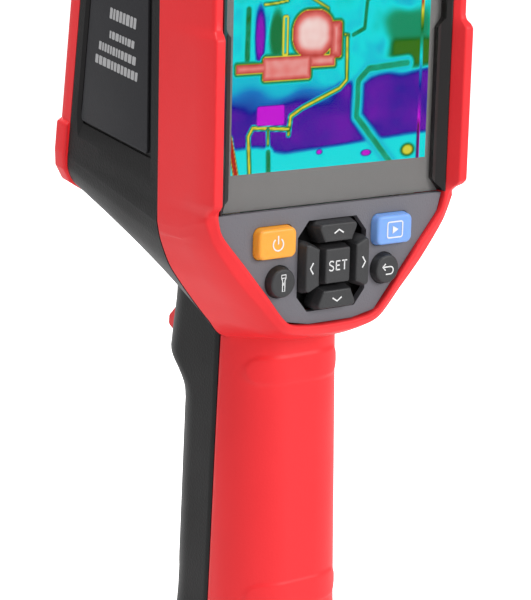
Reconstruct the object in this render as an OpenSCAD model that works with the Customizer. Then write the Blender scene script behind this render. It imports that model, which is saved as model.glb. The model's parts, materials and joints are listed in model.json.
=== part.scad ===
// Pistol-grip thermal imaging camera.
// Origin: mouth of the tripod thread, in the middle of the base. +Z up, +Y towards the target,
// the display faces -Y and the operator's right hand side is +X.

/* [Overall] */
// Overall width across the side bumpers
head_w = 75.5; // [74.5:0.5:77]
// Height of the display picture's lower edge above the base
lcd_z = 169.3; // [164:0.5:176]
// Distance from the handle's centre line back to the display glass
glass_back = 28; // [27:0.5:29]
// Upward pitch of the lens axis against the display's normal
lens_pitch = 8.5; // [7.5:0.5:9.5]

/* [Display] */
// Width of the picture area
lcd_w = 57.6; // [55:0.1:58]
// Height of the picture area
lcd_h = 43.2; // [41:0.1:44]
// Thickness of the display glass
glass_t = 1.2; // [1:0.1:1.4]

/* [Keys] */
// How far the direction keys stand out of the keypad plate
pad_rise = 2.5; // [2:0.1:2.8]
// How far the other keys stand out of the keypad plate
key_rise = 2.1; // [1.8:0.1:2.4]
// Travel of a key
key_travel = 0.8; // [0.4:0.1:0.9]

/* [Handle] */
// Width of the handle
grip_w = 34; // [33:0.5:35]
// Depth of the handle's back half at its top
grip_back = 16.7; // [16:0.1:17.5]
// Depth of the handle's front half at its top
grip_front = 14.4; // [14:0.1:15]
// Travel of the trigger into the handle
trigger_travel = 3; // [2:0.5:3]

/* [Lens] */
// Diameter of the lens barrel
barrel_d = 34; // [32:1:36]
// How far the lens barrel reaches from the shell seam, along the lens axis
barrel_tip = 68.4; // [66:0.2:69]
// Diameter of the infrared lens
lens_d = 22; // [20:1:23]

/* [Hidden] */

$fn = 48;
eps = 0.01;
wall = 2.2;
red = [0.88, 0.2, 0.22];
black = [0.16, 0.16, 0.17];
dark = [0.36, 0.36, 0.38];

// Head, measured from the glass plane (y = 0) and the picture's lower edge (z = 0)
seam_y = 18.8;
head_top = 60.5;
corner = 9;
rim_x = head_w / 2 - 0.87;
side_x = head_w / 2 - 0.6;
rim_y = -2.75;
lobe_y = -4.7;
lobe_z = [-6, 31.3];
v_rim_y = -1.4;
key_seam_z = -8.7;
mat_y = 5.3;
neck_z = -43.6;

// Lens frame, measured from the seam along the pitched axis
mid_len = 39.8;
bumper_y = 43.2;
nose_y = 54;
lens_z = 33;
eye_z = 8;
eye_x = 13;
lens_bulge = 1.4;
flag_parked = -11.3;
flag_reach = 19.2;

// Handle, measured from its own centre line; heights as on the head
grip_low_z = -150;
base_h = 18;
split = [[-30, -7.2], [-112, -3.3], [-200, 0.9]];
trigger_z = -45;
cell_y = -1;

function mirrored(half) = concat(half, [for (i = [len(half) - 1:-1:0]) [-half[i].x, half[i].y]]);
function arc_pts(c, rx, rz, a0, a1, n) = [for (i = [0:n]) let (a = a0 + (a1 - a0) * i / n)
    [c.x + rx * cos(a), c.y + rz * sin(a)]];

// Right halves of the head's outlines, from the top to the bottom
rim_half = [[rim_x - corner, head_top - 2], [rim_x, head_top - 2 - corner], [rim_x, -8], [33.2, -17],
    [26.4, -25.9], [14.5, -37.8], [7.5, -39.4]];
crest_half = [[rim_x - corner - 1.5, head_top - 4.5], [rim_x - 2.5, head_top - 4.5 - corner], [rim_x - 2.5, -8],
    [31, -15.6], [13.6, -36.4], [7, -37.7]];
chamfer_half = [[rim_x - corner + 0.3, head_top - 1], [side_x, head_top - 1 - corner], [side_x, -9.5],
    [34.4, -18.2], [27.6, -27.4], [16, -39.3], [8, -41]];
seam_half = [[side_x - corner, head_top], [side_x, head_top - corner], [side_x, -12.5], [36.1, -17.1],
    [33.4, -23.4], [28.7, -30], [17.6, neck_z + 0.6]];
body_half = concat([[side_x - corner - 0.5, head_top], [side_x - 0.5, head_top - corner], [side_x - 0.5, -6]],
    arc_pts([24, -9.5], side_x - 24.5, 10.5, -10, -90, 6));
nose_half = [[19, head_top - 6.5], [27, head_top - 14.5], [27, -4], [20, -11]];

module outline(half, inset = 0) {
    offset(delta = -inset) polygon(mirrored(half));
}
// A thin upright slice of the head at one depth
module slice(y, half, inset = 0) {
    translate([0, y, 0]) rotate([90, 0, 0]) linear_extrude(eps, center = true) outline(half, inset);
}
module upright(y0, y1) {
    translate([0, y1, 0]) rotate([90, 0, 0]) linear_extrude(y1 - y0) children();
}
module profile(x0, x1, pts) {
    translate([x0, 0, 0]) rotate([90, 0, 90]) linear_extrude(x1 - x0) polygon(pts);
}
module head() {
    translate([0, -glass_back, lcd_z]) children();
}
module lens_frame() {
    head() translate([0, seam_y, 0]) rotate([lens_pitch, 0, 0]) children();
}
module grip() {
    translate([0, 0, lcd_z]) children();
}
module rod_y(d, y0, y1) {
    translate([0, y0, 0]) rotate([-90, 0, 0]) cylinder(d = d, h = y1 - y0);
}
module rod_x(d, len) {
    rotate([0, 90, 0]) cylinder(d = d, h = len, center = true);
}
module ring_y(d_out, d_in, y0, y1) {
    difference() {
        rod_y(d_out, y0, y1);
        rod_y(d_in, y0 - 1, y1 + 1);
    }
}
module rounded(w, h, r) {
    for (sx = [-1, 1], sz = [-1, 1]) translate([sx * (w / 2 - r), sz * (h / 2 - r)]) circle(r);
    square([w, h - 2 * r], center = true);
    square([w - 2 * r, h], center = true);
}

// ---- Handle ----
// Rounded section of the handle, reaching from -back to +front
module grip_section(w, back, front) {
    rb = w / 2 - 4;
    rf = w / 2 - 6;
    hull() {
        for (s = [-1, 1]) translate([s * (w / 2 - rb), -back + rb]) circle(rb);
        for (s = [-1, 1]) translate([s * (w / 2 - rf), front - rf]) circle(rf);
    }
}
module grip_slice(z, w, back, front) {
    translate([0, 0, z]) linear_extrude(eps) grip_section(w, back, front);
}
module grip_solid(inset = 0) {
    hull($fn = 32) {
        grip_slice(-30, grip_w - 2 * inset, grip_back - inset, grip_front - 1 - inset);
        grip_slice(-113, grip_w - 2 * inset, grip_back + 2.9 - inset, grip_front + 3 - inset);
        grip_slice(grip_low_z, grip_w + 2 - 2 * inset, grip_back + 4.8 - inset, grip_front + 6 - inset);
    }
}
// Block that holds everything in front of the handle's split line
module front_of_split(clear = 0) {
    profile(-40, 40, [for (p = split) [p.y + clear, p.x], [60, -200], [60, -30]]);
}
module trigger_housing() {
    hull($fn = 32) {
        grip_slice(-36.5, grip_w - 0.4, 6, 19);
        grip_slice(-52, grip_w - 0.4, 6, 22.3);
        grip_slice(-60, grip_w - 1, 6, 14.6);
    }
}
module neck_solid(grow = 0) {
    head() hull() {
        slice(seam_y, seam_half, -grow);
        translate([0, seam_y, 0]) rotate([lens_pitch, 0, 0]) slice(mid_len, body_half, -grow);
    }
}

module rear_shell() {
    color(red) difference() {
        union() {
            head() {
                hull() {
                    slice(v_rim_y, crest_half);
                    slice(-0.3, rim_half);
                    slice(3.4, chamfer_half);
                    slice(seam_y - eps, seam_half);
                }
                upright(rim_y, 0) intersection() {
                    outline(rim_half, 0.25);
                    translate([-50, -6.5]) square([100, 100]);
                }
                for (s = [-1, 1]) mirror([s < 0 ? 1 : 0, 0, 0])
                    profile(30, head_w / 2, [[lobe_y, lobe_z[0]], [lobe_y, lobe_z[1]], [lobe_y + 2.1, lobe_z[1] + 1.8],
                        [5, lobe_z[1] + 5], [9, 25], [9, 0], [5, lobe_z[0] - 6], [lobe_y + 3.2, lobe_z[0] - 3]]);
            }
            grip() grip_solid();
            grip() grip_band(-50.8);
            grip() grip_band(-108);
        }
        // Display and keypad recess, wider above the keypad
        head() {
            upright(-12, wall + 0.5) panel_recess();
            hull() {
                slice(lobe_y - 0.5, [[34.9, head_top - 5.5], [34.9, -7.2]]);
                slice(v_rim_y, [[33.5, head_top - 7], [33.5, -8]]);
            }
            // Hollow of the head
            hull() {
                slice(wall + 0.4, chamfer_half, wall);
                slice(seam_y + 1, seam_half, wall);
            }
        }
        // Hollow of the handle, and what belongs to the black halves
        grip() {
            difference() {
                grip_solid(wall);
                translate([-40, -40, grip_low_z - 1]) cube([80, 80, 3.2]);
            }
            front_of_split();
        }
        grip() translate([-50, -glass_back + seam_y, neck_z]) cube([100, 60, 120]);
        grip() translate([-50, -60, -200]) cube([100, 120, 200 + grip_low_z]);
        grip() translate([0, -8, grip_low_z - 1]) cylinder(d = 6, h = 6);
    }
    color(red) for (p = shell_screw_pos()) translate(p) screw_boss(-3, 2.3);
}
// A tapped boss on the side wall, from depth y0 to y1 about the screw's middle
module screw_boss(y0, y1) {
    difference() {
        rod_y(7, y0, y1);
        rod_y(2.32, y0 - 1, y1 + 1);
    }
}
// A shallow raised band round the back of the handle, with round ends
module grip_band(z) {
    intersection() {
        translate([0, 0, z - 3.75]) linear_extrude(7.5) grip_section(grip_w + 0.3, grip_back + 0.55 - (z + 46) * 0.035,
            grip_front);
        translate([0, 0.1, z]) rotate([90, 0, 0]) linear_extrude(60) rounded(28.6, 7.5, 3.7);
    }
}
// Screw points that hold the shells together, from inside the head
function shell_screw_pos() = [for (sx = [-1, 1], z = [46, 4]) [sx * 31.6, -glass_back + seam_y - 4, lcd_z + z]];

module panel_recess() {
    polygon(mirrored([[33.5, head_top - 7], [33.5, -9], [32.2, -13.4], [13.3, -35.8], [6.6, -37.1]]));
}
module shell_gasket() {
    color([0.1, 0.1, 0.1]) head() upright(seam_y - 1.6, seam_y - 0.2) difference() {
        outline(seam_half, wall + 0.8);
        outline(seam_half, wall + 1.7);
        translate([-19, -50]) square([38, 22]);
    }
}

// ---- Black middle body ----
module mid_body() {
    color(black) difference() {
        union() {
            difference() {
                neck_solid();
                head() hull() {
                    slice(seam_y - 3, seam_half, wall);
                    translate([0, seam_y, 0]) rotate([lens_pitch, 0, 0]) slice(mid_len + 1, body_half, wall);
                }
            }
            lens_frame() translate([-14.5, 9.2, head_top - 14]) cube([29, 17.2, 12]);
        }
        // Recess of each label plate, with a bevelled border
        lens_frame() for (s = [-1, 1]) mirror([s < 0 ? 1 : 0, 0, 0]) {
            hull() {
                profile(side_x + 0.6, side_x + 0.7, plate_border(1.2));
                profile(side_x - 1.3, side_x - 1.2, plate_border(0));
            }
            profile(side_x - 1.8, side_x, plate_outline(0.15));
        }
        // Well of the port cover in the roof, and the cut for its hinge
        lens_frame() {
            translate([-13, 10.4, head_top - 3.4]) cube([26, 14.6, 10]);
            translate([0, 12, head_top - 1.6]) rod_x(1.22, 32);
            translate([-9.5, 13.6, head_top - 12]) cube([19, 9.5, 12]);
            translate([1.5, 14.1, head_top - 20]) cube([2.6, 8.4, 10]);
            translate([3.1, 24, head_top - 1.2]) cube([5, 3.6, 4]);
        }
        // Way for the wires into the handle
        grip() translate([-9, -7, -60]) cube([18, 14, 40]);
    }
    color(black) for (p = shell_screw_pos()) translate(p) screw_boss(4.1, 9.95);
}
// Side outline of a label plate's recess, in depth and height along the lens axis
function plate_border(g) = [[plate_rear(51 + g) - g * 0.3, 51 + g], [36.4 + g, 51 + g], [36.4 + g, 3.8 - g],
    [35 + g, 0.6 - g * 5], [plate_rear(0.6 - g * 5) - g * 0.3, 0.6 - g * 5]];
// Side outline of a label plate, grown by g for the seat it is laid in
function plate_outline(g) = [[plate_rear(50.2) + 2.4 - g, 50.2 + g], [35.8 + g, 50.2 + g], [35.8 + g, 3 - g],
    [35 + g, 1.3 - g], [plate_rear(1.3) + 2.4 - g, 1.3 - g]];
// The recess's rear edge stands parallel to the shell seam
function plate_rear(z) = 3.6 + z * tan(lens_pitch);
module side_plate() {
    color([0.27, 0.27, 0.29]) lens_frame() profile(side_x - 1.7, side_x - 1.0, plate_outline(0));
}
module side_plate_left() {
    mirror([1, 0, 0]) side_plate();
}
module side_plate_right() {
    side_plate();
}

// ---- Red front shell ----
module front_shell() {
    color(red) lens_frame() difference() {
        union() {
            hull() {
                slice(mid_len + eps, body_half);
                slice(bumper_y, body_half);
                slice(nose_y, nose_half);
            }
            for (s = [-1, 1]) mirror([s < 0 ? 1 : 0, 0, 0]) profile(20, head_w / 2,
                [[mid_len + 0.4, 6], [bumper_y, 4.5], [bumper_y + 1.4, 1.5], [bumper_y + 1.4, -8.5],
                    [bumper_y, -12], [mid_len + 0.4, -10]]);
        }
        hull() {
            slice(mid_len - 1, body_half, wall);
            slice(bumper_y, body_half, wall);
            slice(nose_y - wall, nose_half, wall);
        }
        upright(nose_y - 5, nose_y + 5) outline(nose_half, 3.2);
    }
}
module front_panel() {
    color(black) lens_frame() difference() {
        upright(nose_y - 1.7, nose_y - 0.3) outline(nose_half, 3.3);
        translate([0, 0, lens_z]) rod_y(barrel_d + 0.3, nose_y - 5, nose_y + 5);
        for (s = [-1, 1]) translate([s * eye_x, 0, eye_z]) rod_y(9.2, nose_y - 5, nose_y + 5);
    }
}

// ---- Infrared optics ----
module lens_barrel() {
    color(black) lens_frame() translate([0, 0, lens_z]) difference() {
        union() {
            rod_y(barrel_d, 44, barrel_tip - 2);
            rod_y(barrel_d - 3, 44, barrel_tip);
            rod_y(barrel_d + 3, 44, 46);
            for (a = [0:12:348]) rotate([0, a, 0]) translate([barrel_d / 2 - 0.35, 0, 0]) rod_y(1.3, nose_y + 3, barrel_tip - 4);
        }
        rod_y(lens_d - 2, 43, 80);
        rod_y(lens_d + 0.1, barrel_tip - 8, 80);
        rod_y(lens_d + 4.1, barrel_tip - 4, 80);
    }
}
module lens_retainer() {
    color([0.3, 0.3, 0.32]) lens_frame() translate([0, 0, lens_z]) difference() {
        ring_y(lens_d + 4, lens_d - 2.4, barrel_tip - 4, barrel_tip - 2.4);
        for (s = [-1, 1]) translate([s * (lens_d / 2 + 0.6), 0, 0]) rod_y(1.4, barrel_tip - 3, barrel_tip);
    }
}
module infrared_lens() {
    color([0.35, 0.33, 0.4]) lens_frame() translate([0, barrel_tip - 7.9, lens_z]) rotate([-90, 0, 0])
        rotate_extrude() polygon(concat([[0, 0], [lens_d / 2, 0]],
            [for (i = [0:6]) let (x = lens_d / 2 * (1 - i / 6)) [x, 2.4 + lens_bulge * (1 - pow(2 * x / lens_d, 2))]]));
}
module detector_module() {
    color([0.55, 0.56, 0.58]) lens_frame() translate([0, 0, lens_z]) {
        translate([-12, 22.8, -12]) cube([24, 5.2, 24]);
        translate([-9, 28, -9]) cube([18, 3, 18]);
        rod_y(12, 31, 32.4);
    }
}
module shutter_motor() {
    color([0.2, 0.2, 0.2]) lens_frame() translate([15, 0, lens_z - 12]) {
        rod_y(6, 26, 34);
        rod_y(1.5, 34, 37);
    }
}
module shutter_flag() {
    color([0.12, 0.12, 0.12]) lens_frame() translate([15, 0, lens_z - 12]) difference() {
        union() {
            rod_y(5, 34.6, 35.4);
            // Parked beside the lens axis
            rotate([0, flag_parked, 0]) translate([-flag_reach, 0, 0]) rod_y(14, 34.6, 35.2);
            rotate([0, flag_parked, 0]) translate([-16, 34.6, -1.5]) cube([16, 0.6, 3]);
        }
        rod_y(1.56, 34, 36);
    }
}
module camera_module() {
    color([0.15, 0.15, 0.16]) lens_frame() translate([-eye_x, 0, eye_z]) {
        translate([-5, 42, -5]) cube([10, 5, 10]);
        rod_y(7, 47, 50.6);
    }
}
module eye_window(x) {
    lens_frame() translate([x, 0, eye_z]) rod_y(9, nose_y - 1.6, nose_y - 0.6);
}
module camera_window() {
    color([0.1, 0.12, 0.16]) eye_window(-eye_x);
}
module lamp_led() {
    color([0.95, 0.9, 0.5]) lens_frame() translate([eye_x, 0, eye_z]) {
        translate([-4.5, 45, -4.5]) cube([9, 1.6, 9]);
        translate([-1.8, 46.6, -1.8]) cube([3.6, 1, 3.6]);
    }
}
module lamp_lens() {
    color([0.9, 0.95, 1, 0.5]) eye_window(eye_x);
}

// ---- Display and keypad ----
module display_outline(inset = 0) {
    offset(delta = -inset) polygon(mirrored([[32.1, head_top - 8.5], [32.1, 33.5], [30.3, 31.3], [30.3, -5.2],
        [33.3, -8.6]]));
}
module bezel_frame() {
    color([0.07, 0.06, 0.06]) head() difference() {
        upright(v_rim_y - 0.1, 1.4) polygon(mirrored([[33.4, head_top - 7.1], [33.4, -8.4]]));
        upright(-5, 5) display_outline();
        hull() {
            slice(0, [[31.2, head_top - 8], [31.2, -9]]);
            slice(v_rim_y - 0.2, [[33.2, head_top - 7.3], [33.2, -9]]);
        }
    }
}
module display_window() {
    color([0.1, 0.1, 0.1, 0.6]) head() upright(0, glass_t) display_outline(0.06);
}
module lcd_module() {
    color([0.05, 0.25, 0.3]) head() {
        translate([-31.4, 1.65, -6.5]) cube([62.8, 2.6, lcd_h + 12]);
        translate([-lcd_w / 2, 1.5, 0]) cube([lcd_w, 0.2, lcd_h]);
    }
}
module key_round(x, grow) {
    translate([x, -25.7]) circle(d = 7.6 + 2 * grow);
}
module key_block(x, grow) {
    translate([x, -16.2]) offset(delta = grow) rounded(11.3, 7.6, 1.8);
}
pad_z = -23;
pad_x_out = 10;
pad_z_out = 10.7;
up_half = [[6.9, pad_z_out], [4.2, 5.3]];
right_quarter = [[pad_x_out, 6.9], [5.6, 4.6], [5.6, -4.6], [pad_x_out, -6.9]];
// The outlines of the five keys of the direction pad
module pad_key_2d(name, grow = 0) {
    translate([0, pad_z]) offset(delta = grow) {
        if (name == "up") polygon(mirrored(up_half));
        if (name == "down") mirror([0, 1]) polygon(mirrored(up_half));
        if (name == "right") polygon(right_quarter);
        if (name == "left") mirror([1, 0]) polygon(right_quarter);
        if (name == "set") square([8.2, 9.3], center = true);
    }
}
pad_names = ["up", "down", "left", "right", "set"];
module keypad_plate() {
    color(dark) head() difference() {
        upright(0, 1.8) polygon(mirrored([[33.3, key_seam_z - 0.1], [32.05, -13.3], [13.2, -35.6], [6.5, -36.9]]));
        upright(-1, 3) {
            for (s = [-1, 1]) {
                key_round(s * 15.6, 0.15);
                key_block(s * 17.4, 0.15);
            }
            translate([0, pad_z]) polygon(mirrored([[7.1, pad_z_out + 0.2], [pad_x_out + 0.2, 7.1],
                [pad_x_out + 0.2, -7.1], [7.1, -pad_z_out - 0.2]]));
        }
    }
}
// A key: the cap with bevelled edges, its skirt, and the stem that presses the dome
module key_cap(rise, stem) {
    head() {
        hull() {
            upright(-0.6 * rise, 2.6) children(0);
            upright(-rise, 0) children(1);
        }
        translate([stem.x, 0, stem.y]) rod_y(2.4, 2.5, mat_y - 0.05 - key_travel);
    }
}
module key_power() {
    color([1, 0.66, 0.15]) key_cap(key_rise, [-17.4, -16.2]) {
        key_block(-17.4, 0);
        key_block(-17.4, -0.7);
    }
}
module key_gallery() {
    color([0.5, 0.68, 0.92]) key_cap(key_rise, [17.4, -16.2]) {
        key_block(17.4, 0);
        key_block(17.4, -0.7);
    }
}
module key_torch() {
    color(black) key_cap(key_rise, [-15.6, -25.7]) {
        key_round(-15.6, 0);
        key_round(-15.6, -0.7);
    }
}
module key_back() {
    color(black) key_cap(key_rise, [15.6, -25.7]) {
        key_round(15.6, 0);
        key_round(15.6, -0.7);
    }
}
module pad_key(name, stem) {
    color(black) key_cap(pad_rise, [stem.x, pad_z + stem.y]) {
        pad_key_2d(name, -0.15);
        pad_key_2d(name, -0.75);
    }
}
module key_up() {
    pad_key("up", [0, 8]);
}
module key_down() {
    pad_key("down", [0, -8]);
}
module key_left() {
    pad_key("left", [-7.8, 0]);
}
module key_right() {
    pad_key("right", [7.8, 0]);
}
module key_set() {
    pad_key("set", [0, 0]);
}
module key_stack_outline(inset) {
    offset(delta = -inset) polygon(mirrored([[29, -11], [28.4, -14.4], [11.5, -34.4]]));
}
module key_mat() {
    color([0.3, 0.3, 0.3]) head() upright(mat_y, mat_y + 0.6) key_stack_outline(0);
}
module key_board() {
    color([0.05, 0.35, 0.2]) head() upright(6, 7) key_stack_outline(0.5);
}
module main_board() {
    color([0.05, 0.35, 0.2]) head() {
        difference() {
            translate([-30, 10, -12]) cube([60, 1.6, 62]);
            for (p = board_hole_pos()) translate([p.x, 0, p.y]) rod_y(2.6, 9, 13);
        }
        translate([-12, 11.6, 14]) cube([24, 1.8, 24]);
        translate([-24, 11.6, -6]) cube([9, 1.2, 12]);
        translate([15, 11.6, 2]) cube([7, 1.2, 7]);
        translate([-27, 11.6, 36]) cube([10, 2.4, 4]);
    }
}
function board_hole_pos() = [for (sx = [-1, 1], z = [-8, 46]) [sx * 26, z]];
module board_standoffs() {
    color([0.75, 0.65, 0.35]) head() for (p = board_hole_pos()) translate([p.x, 0, p.y]) ring_y(5, 2, 4.3, 9.95);
}
module board_screws() {
    color([0.7, 0.7, 0.72]) head() for (p = board_hole_pos()) translate([p.x, 0, p.y]) difference() {
        union() {
            rod_y(1.9, 6, 11.7);
            rod_y(4, 11.65, 13.2);
        }
        translate([0, 12.4, 0]) rod_y_hex(1.6, 2);
    }
}
module rod_y_hex(d, len) {
    rotate([-90, 0, 0]) cylinder(d = d, h = len, $fn = 6);
}
module shell_screws() {
    color([0.2, 0.2, 0.2]) for (p = shell_screw_pos()) translate(p) {
        rod_y(2.3, -2, 10);
        rod_y(4.4, 10, 11.8);
    }
}

// ---- Handle front, trigger and pad ----
module trigger_slot() {
    translate([-6.2, 6.8, -51.6]) cube([12.4, 7.4, 15]);
    translate([-6.2, 6.8, -51.6]) cube([12.4, 27, 13.6]);
}
module pad_shape(grow) {
    translate([0, 40, -84.5]) rotate([90, 0, 0]) linear_extrude(80) offset(delta = grow) rounded(27, 54.5, 9);
}
// Guide the trigger slides in, with a lip that keeps its flange and a wall behind its spring
module trigger_guide() {
    translate([-8.4, 4.6, -53.8]) cube([16.8, 13.4, 19.4]);
}
module handle_front() {
    color(black) difference() {
        union() {
            handle_front_shell();
            grip() trigger_guide();
        }
        grip() trigger_slot();
        grip() translate([0, 0, trigger_z]) rod_y(2.2, 0, 10);
        neck_solid(0.12);
    }
}
module handle_front_shell() {
    difference() {
        union() {
            grip() intersection() {
                grip_solid();
                front_of_split(0.25);
            }
            grip() trigger_housing();
            grip() translate([-12.5, -6.5, -45]) cube([25, 27, 31]);
        }
        grip() difference() {
            union() {
                grip_solid(wall);
                translate([-10.2, -8, -62]) cube([20.4, 25, 60]);
            }
            translate([-40, -40, grip_low_z - 1]) cube([80, 80, 3.2]);
        }
        grip() difference() {
            intersection() {
                pad_shape(0.12);
                translate([-40, 6, -140]) cube([80, 60, 90]);
            }
            grip_solid(1.3);
        }
        neck_solid(0.12);
        grip() translate([-50, -60, -200]) cube([100, 120, 200 + grip_low_z]);
        grip() translate([-60, -60, -30]) cube([120, 51, 30]);
    }
}
module grip_pad() {
    color([0.2, 0.2, 0.21]) grip() intersection() {
        pad_shape(0);
        difference() {
            grip_solid(-0.35);
            grip_solid(1.28);
        }
        translate([-40, 6, -140]) cube([80, 60, 90]);
    }
}
module trigger() {
    color(red) grip() difference() {
        union() {
            profile(-5.8, 5.8, [[8 + trigger_travel, -38.2], [8 + trigger_travel, -51], [29.8, -51], [32.6, -49.6],
                [32.2, -47], [28.4, -43.4], [22.5, -40.2], [17, -38.2]]);
            translate([-5.8, 8 + trigger_travel, -38.3]) cube([11.6, 3, 1.4]);
        }
        translate([0, 0, trigger_z]) rod_y(5.4, 5, 15);
    }
    color(red) grip() translate([0, 0, trigger_z]) rod_y(2.6, 8 + trigger_travel, 15.1);
}
module trigger_spring() {
    color([0.7, 0.7, 0.7]) grip() translate([0, 6.9, trigger_z]) ring_y(4.6, 3.2, 0, 8);
}
module trigger_switch() {
    color([0.1, 0.1, 0.12]) grip() {
        translate([-3, -2, -51]) cube([6, 6.4, 12]);
        translate([0, 0, trigger_z]) rod_y(1.6, 4.3, 7.9);
    }
}

// ---- Handle inside and base ----
module battery_cell() {
    color([0.1, 0.35, 0.6]) grip() translate([0, cell_y, -132]) {
        cylinder(d = 21, h = 69);
        translate([0, 0, 69]) cylinder(d = 8, h = 1.4);
    }
}
module battery_cradle() {
    color([0.12, 0.12, 0.12]) grip() difference() {
        translate([-11.2, -12.4, -135]) cube([22.4, 18.9, 75.5]);
        translate([0, cell_y, -132.1]) cylinder(d = 21.4, h = 90);
        translate([-12, cell_y, -130]) cube([24, 30, 68]);
    }
}
module base_cap() {
    color(black) difference() {
        hull() {
            translate([0, 0, base_h]) linear_extrude(eps) grip_section(grip_w + 2, grip_back + 4.8, grip_front + 6);
            translate([0, 0, 7]) linear_extrude(eps) grip_section(grip_w + 5, grip_back + 7, grip_front + 9);
            linear_extrude(eps) grip_section(grip_w + 3.4, grip_back + 6.2, grip_front + 8.2);
        }
        translate([0, 0, 3]) linear_extrude(base_h) offset(delta = -3.2) grip_section(grip_w + 2, grip_back + 4.8,
            grip_front + 6);
        translate([0, 0, -1]) cylinder(d = 11.96, h = 10);
        for (p = base_screw_pos()) translate([p.x, p.y, -1]) {
            cylinder(d = 3.2, h = 12);
            cylinder(d = 6, h = 2.6);
        }
    }
}
function base_screw_pos() = [for (sx = [-1, 1]) [sx * 9.5, 13.5]];
module base_screws() {
    color([0.25, 0.25, 0.26]) for (p = base_screw_pos()) translate([p.x, p.y, 0]) difference() {
        union() {
            cylinder(d = 2.9, h = base_h - 2);
            translate([0, 0, 0.5]) cylinder(d = 5.6, h = 1.05);
        }
        translate([0, 0, 0]) cylinder(d = 2.4, h = 1.2, $fn = 6);
    }
}
module tripod_insert() {
    color([0.75, 0.6, 0.3]) difference() {
        union() {
            cylinder(d = 11.9, h = 8.9);
            translate([0, 0, 3.05]) cylinder(d = 15, h = 1.6);
        }
        translate([0, 0, -1]) cylinder(d = 6.35, h = 9);
    }
}
module buzzer() {
    color([0.1, 0.1, 0.1]) head() translate([22, 0, 20]) ring_y(9, 1.6, 12, 15.4);
}

// ---- Ports in the roof ----
module port_flap() {
    color([0.1, 0.1, 0.1]) lens_frame() difference() {
        union() {
            translate([-12.7, 13.9, head_top - 2.9]) cube([25.4, 10.8, 2.8]);
            translate([-9, 14.2, head_top - 4.2]) cube([18, 8.4, 1.4]);
            translate([0, 12, head_top - 1.6]) rod_x(2.7, 21);
            translate([-10.5, 12, head_top - 2.5]) cube([21, 2.4, 1.8]);
        }
        translate([0, 12, head_top - 1.6]) rod_x(1.3, 40);
    }
}
module flap_pin() {
    color([0.7, 0.7, 0.7]) lens_frame() translate([0, 12, head_top - 1.6]) rod_x(1.2, 31.6);
}
module usb_socket() {
    color([0.7, 0.7, 0.72]) lens_frame() translate([-4, 18.4, head_top - 12]) difference() {
        translate([-4.6, -1.7, 0]) cube([9.2, 3.4, 7.2]);
        translate([-4.2, -1.3, 1]) cube([8.4, 2.6, 8]);
    }
}
module card_socket() {
    color([0.75, 0.75, 0.75]) lens_frame() translate([4, 0, 0]) difference() {
        translate([-2.4, 14.2, head_top - 22]) cube([2.4, 8.2, 14]);
        translate([-1.7, 14.8, head_top - 21]) cube([1, 7, 20]);
    }
}
module memory_card() {
    color([0.05, 0.05, 0.05]) lens_frame() translate([2.45, 14.95, head_top - 20.7]) cube([0.7, 6.7, 15]);
}

rear_shell();
mid_body();
front_shell();
shell_gasket();
handle_front();
grip_pad();
base_cap();
side_plate_left();
side_plate_right();
bezel_frame();
display_window();
lcd_module();
keypad_plate();
key_mat();
key_board();
main_board();
board_standoffs();
board_screws();
shell_screws();
key_power();
key_gallery();
key_torch();
key_back();
key_up();
key_down();
key_left();
key_right();
key_set();
front_panel();
lens_barrel();
lens_retainer();
infrared_lens();
detector_module();
shutter_motor();
shutter_flag();
camera_module();
camera_window();
lamp_led();
lamp_lens();
trigger();
trigger_spring();
trigger_switch();
battery_cell();
battery_cradle();
base_screws();
tripod_insert();
port_flap();
flap_pin();
usb_socket();
card_socket();
memory_card();
buzzer();
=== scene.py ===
import json
import math
import random

import bmesh
import bpy
from mathutils import Matrix, Vector, noise


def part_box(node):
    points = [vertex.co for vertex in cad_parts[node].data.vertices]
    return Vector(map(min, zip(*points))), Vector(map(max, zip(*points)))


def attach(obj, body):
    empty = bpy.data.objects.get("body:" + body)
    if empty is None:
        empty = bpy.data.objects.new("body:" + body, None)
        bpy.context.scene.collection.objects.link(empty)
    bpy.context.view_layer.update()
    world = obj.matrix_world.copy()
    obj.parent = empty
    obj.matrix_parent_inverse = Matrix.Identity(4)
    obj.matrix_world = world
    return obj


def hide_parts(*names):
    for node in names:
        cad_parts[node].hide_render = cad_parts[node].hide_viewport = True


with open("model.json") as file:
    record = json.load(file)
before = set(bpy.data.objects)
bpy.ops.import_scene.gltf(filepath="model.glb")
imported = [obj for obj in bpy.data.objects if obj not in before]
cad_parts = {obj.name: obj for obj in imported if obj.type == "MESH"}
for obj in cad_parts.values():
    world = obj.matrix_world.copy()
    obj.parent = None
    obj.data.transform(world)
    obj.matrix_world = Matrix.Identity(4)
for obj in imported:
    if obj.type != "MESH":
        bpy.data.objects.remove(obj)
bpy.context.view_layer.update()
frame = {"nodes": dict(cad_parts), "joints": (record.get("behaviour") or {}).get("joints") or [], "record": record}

bl_info = {
    "name": "Pistol-grip thermal camera",
    "version": (1, 0, 0),
    "blender": (4, 5, 0),
    "location": "3D View > Sidebar > Imager",
    "description": "Builds the visible housing, keys, display and finishes of a pistol-grip thermal camera",
    "category": "Object",
}

MM = 0.001

# ---- Frames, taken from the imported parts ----
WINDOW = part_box("display_window")
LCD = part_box("lcd_module")
LCD_LOW_EDGE = 6.5 * MM
GLASS_Y = WINDOW[0][1]
LCD_Z = LCD[0][2] + LCD_LOW_EDGE
SEAM_Y = 18.8
SHUTTER_AXIS = next(j for j in frame["joints"] if j["name"] == "shutter_hinge")["axis"]
PITCH = math.atan2(SHUTTER_AXIS[2], SHUTTER_AXIS[1])
HEAD = Matrix.Translation((0, GLASS_Y, LCD_Z))
LENS = HEAD @ Matrix.Translation((0, SEAM_Y * MM, 0)) @ Matrix.Rotation(PITCH, 4, "X")
GRIP = Matrix.Translation((0, 0, LCD_Z))

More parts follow.
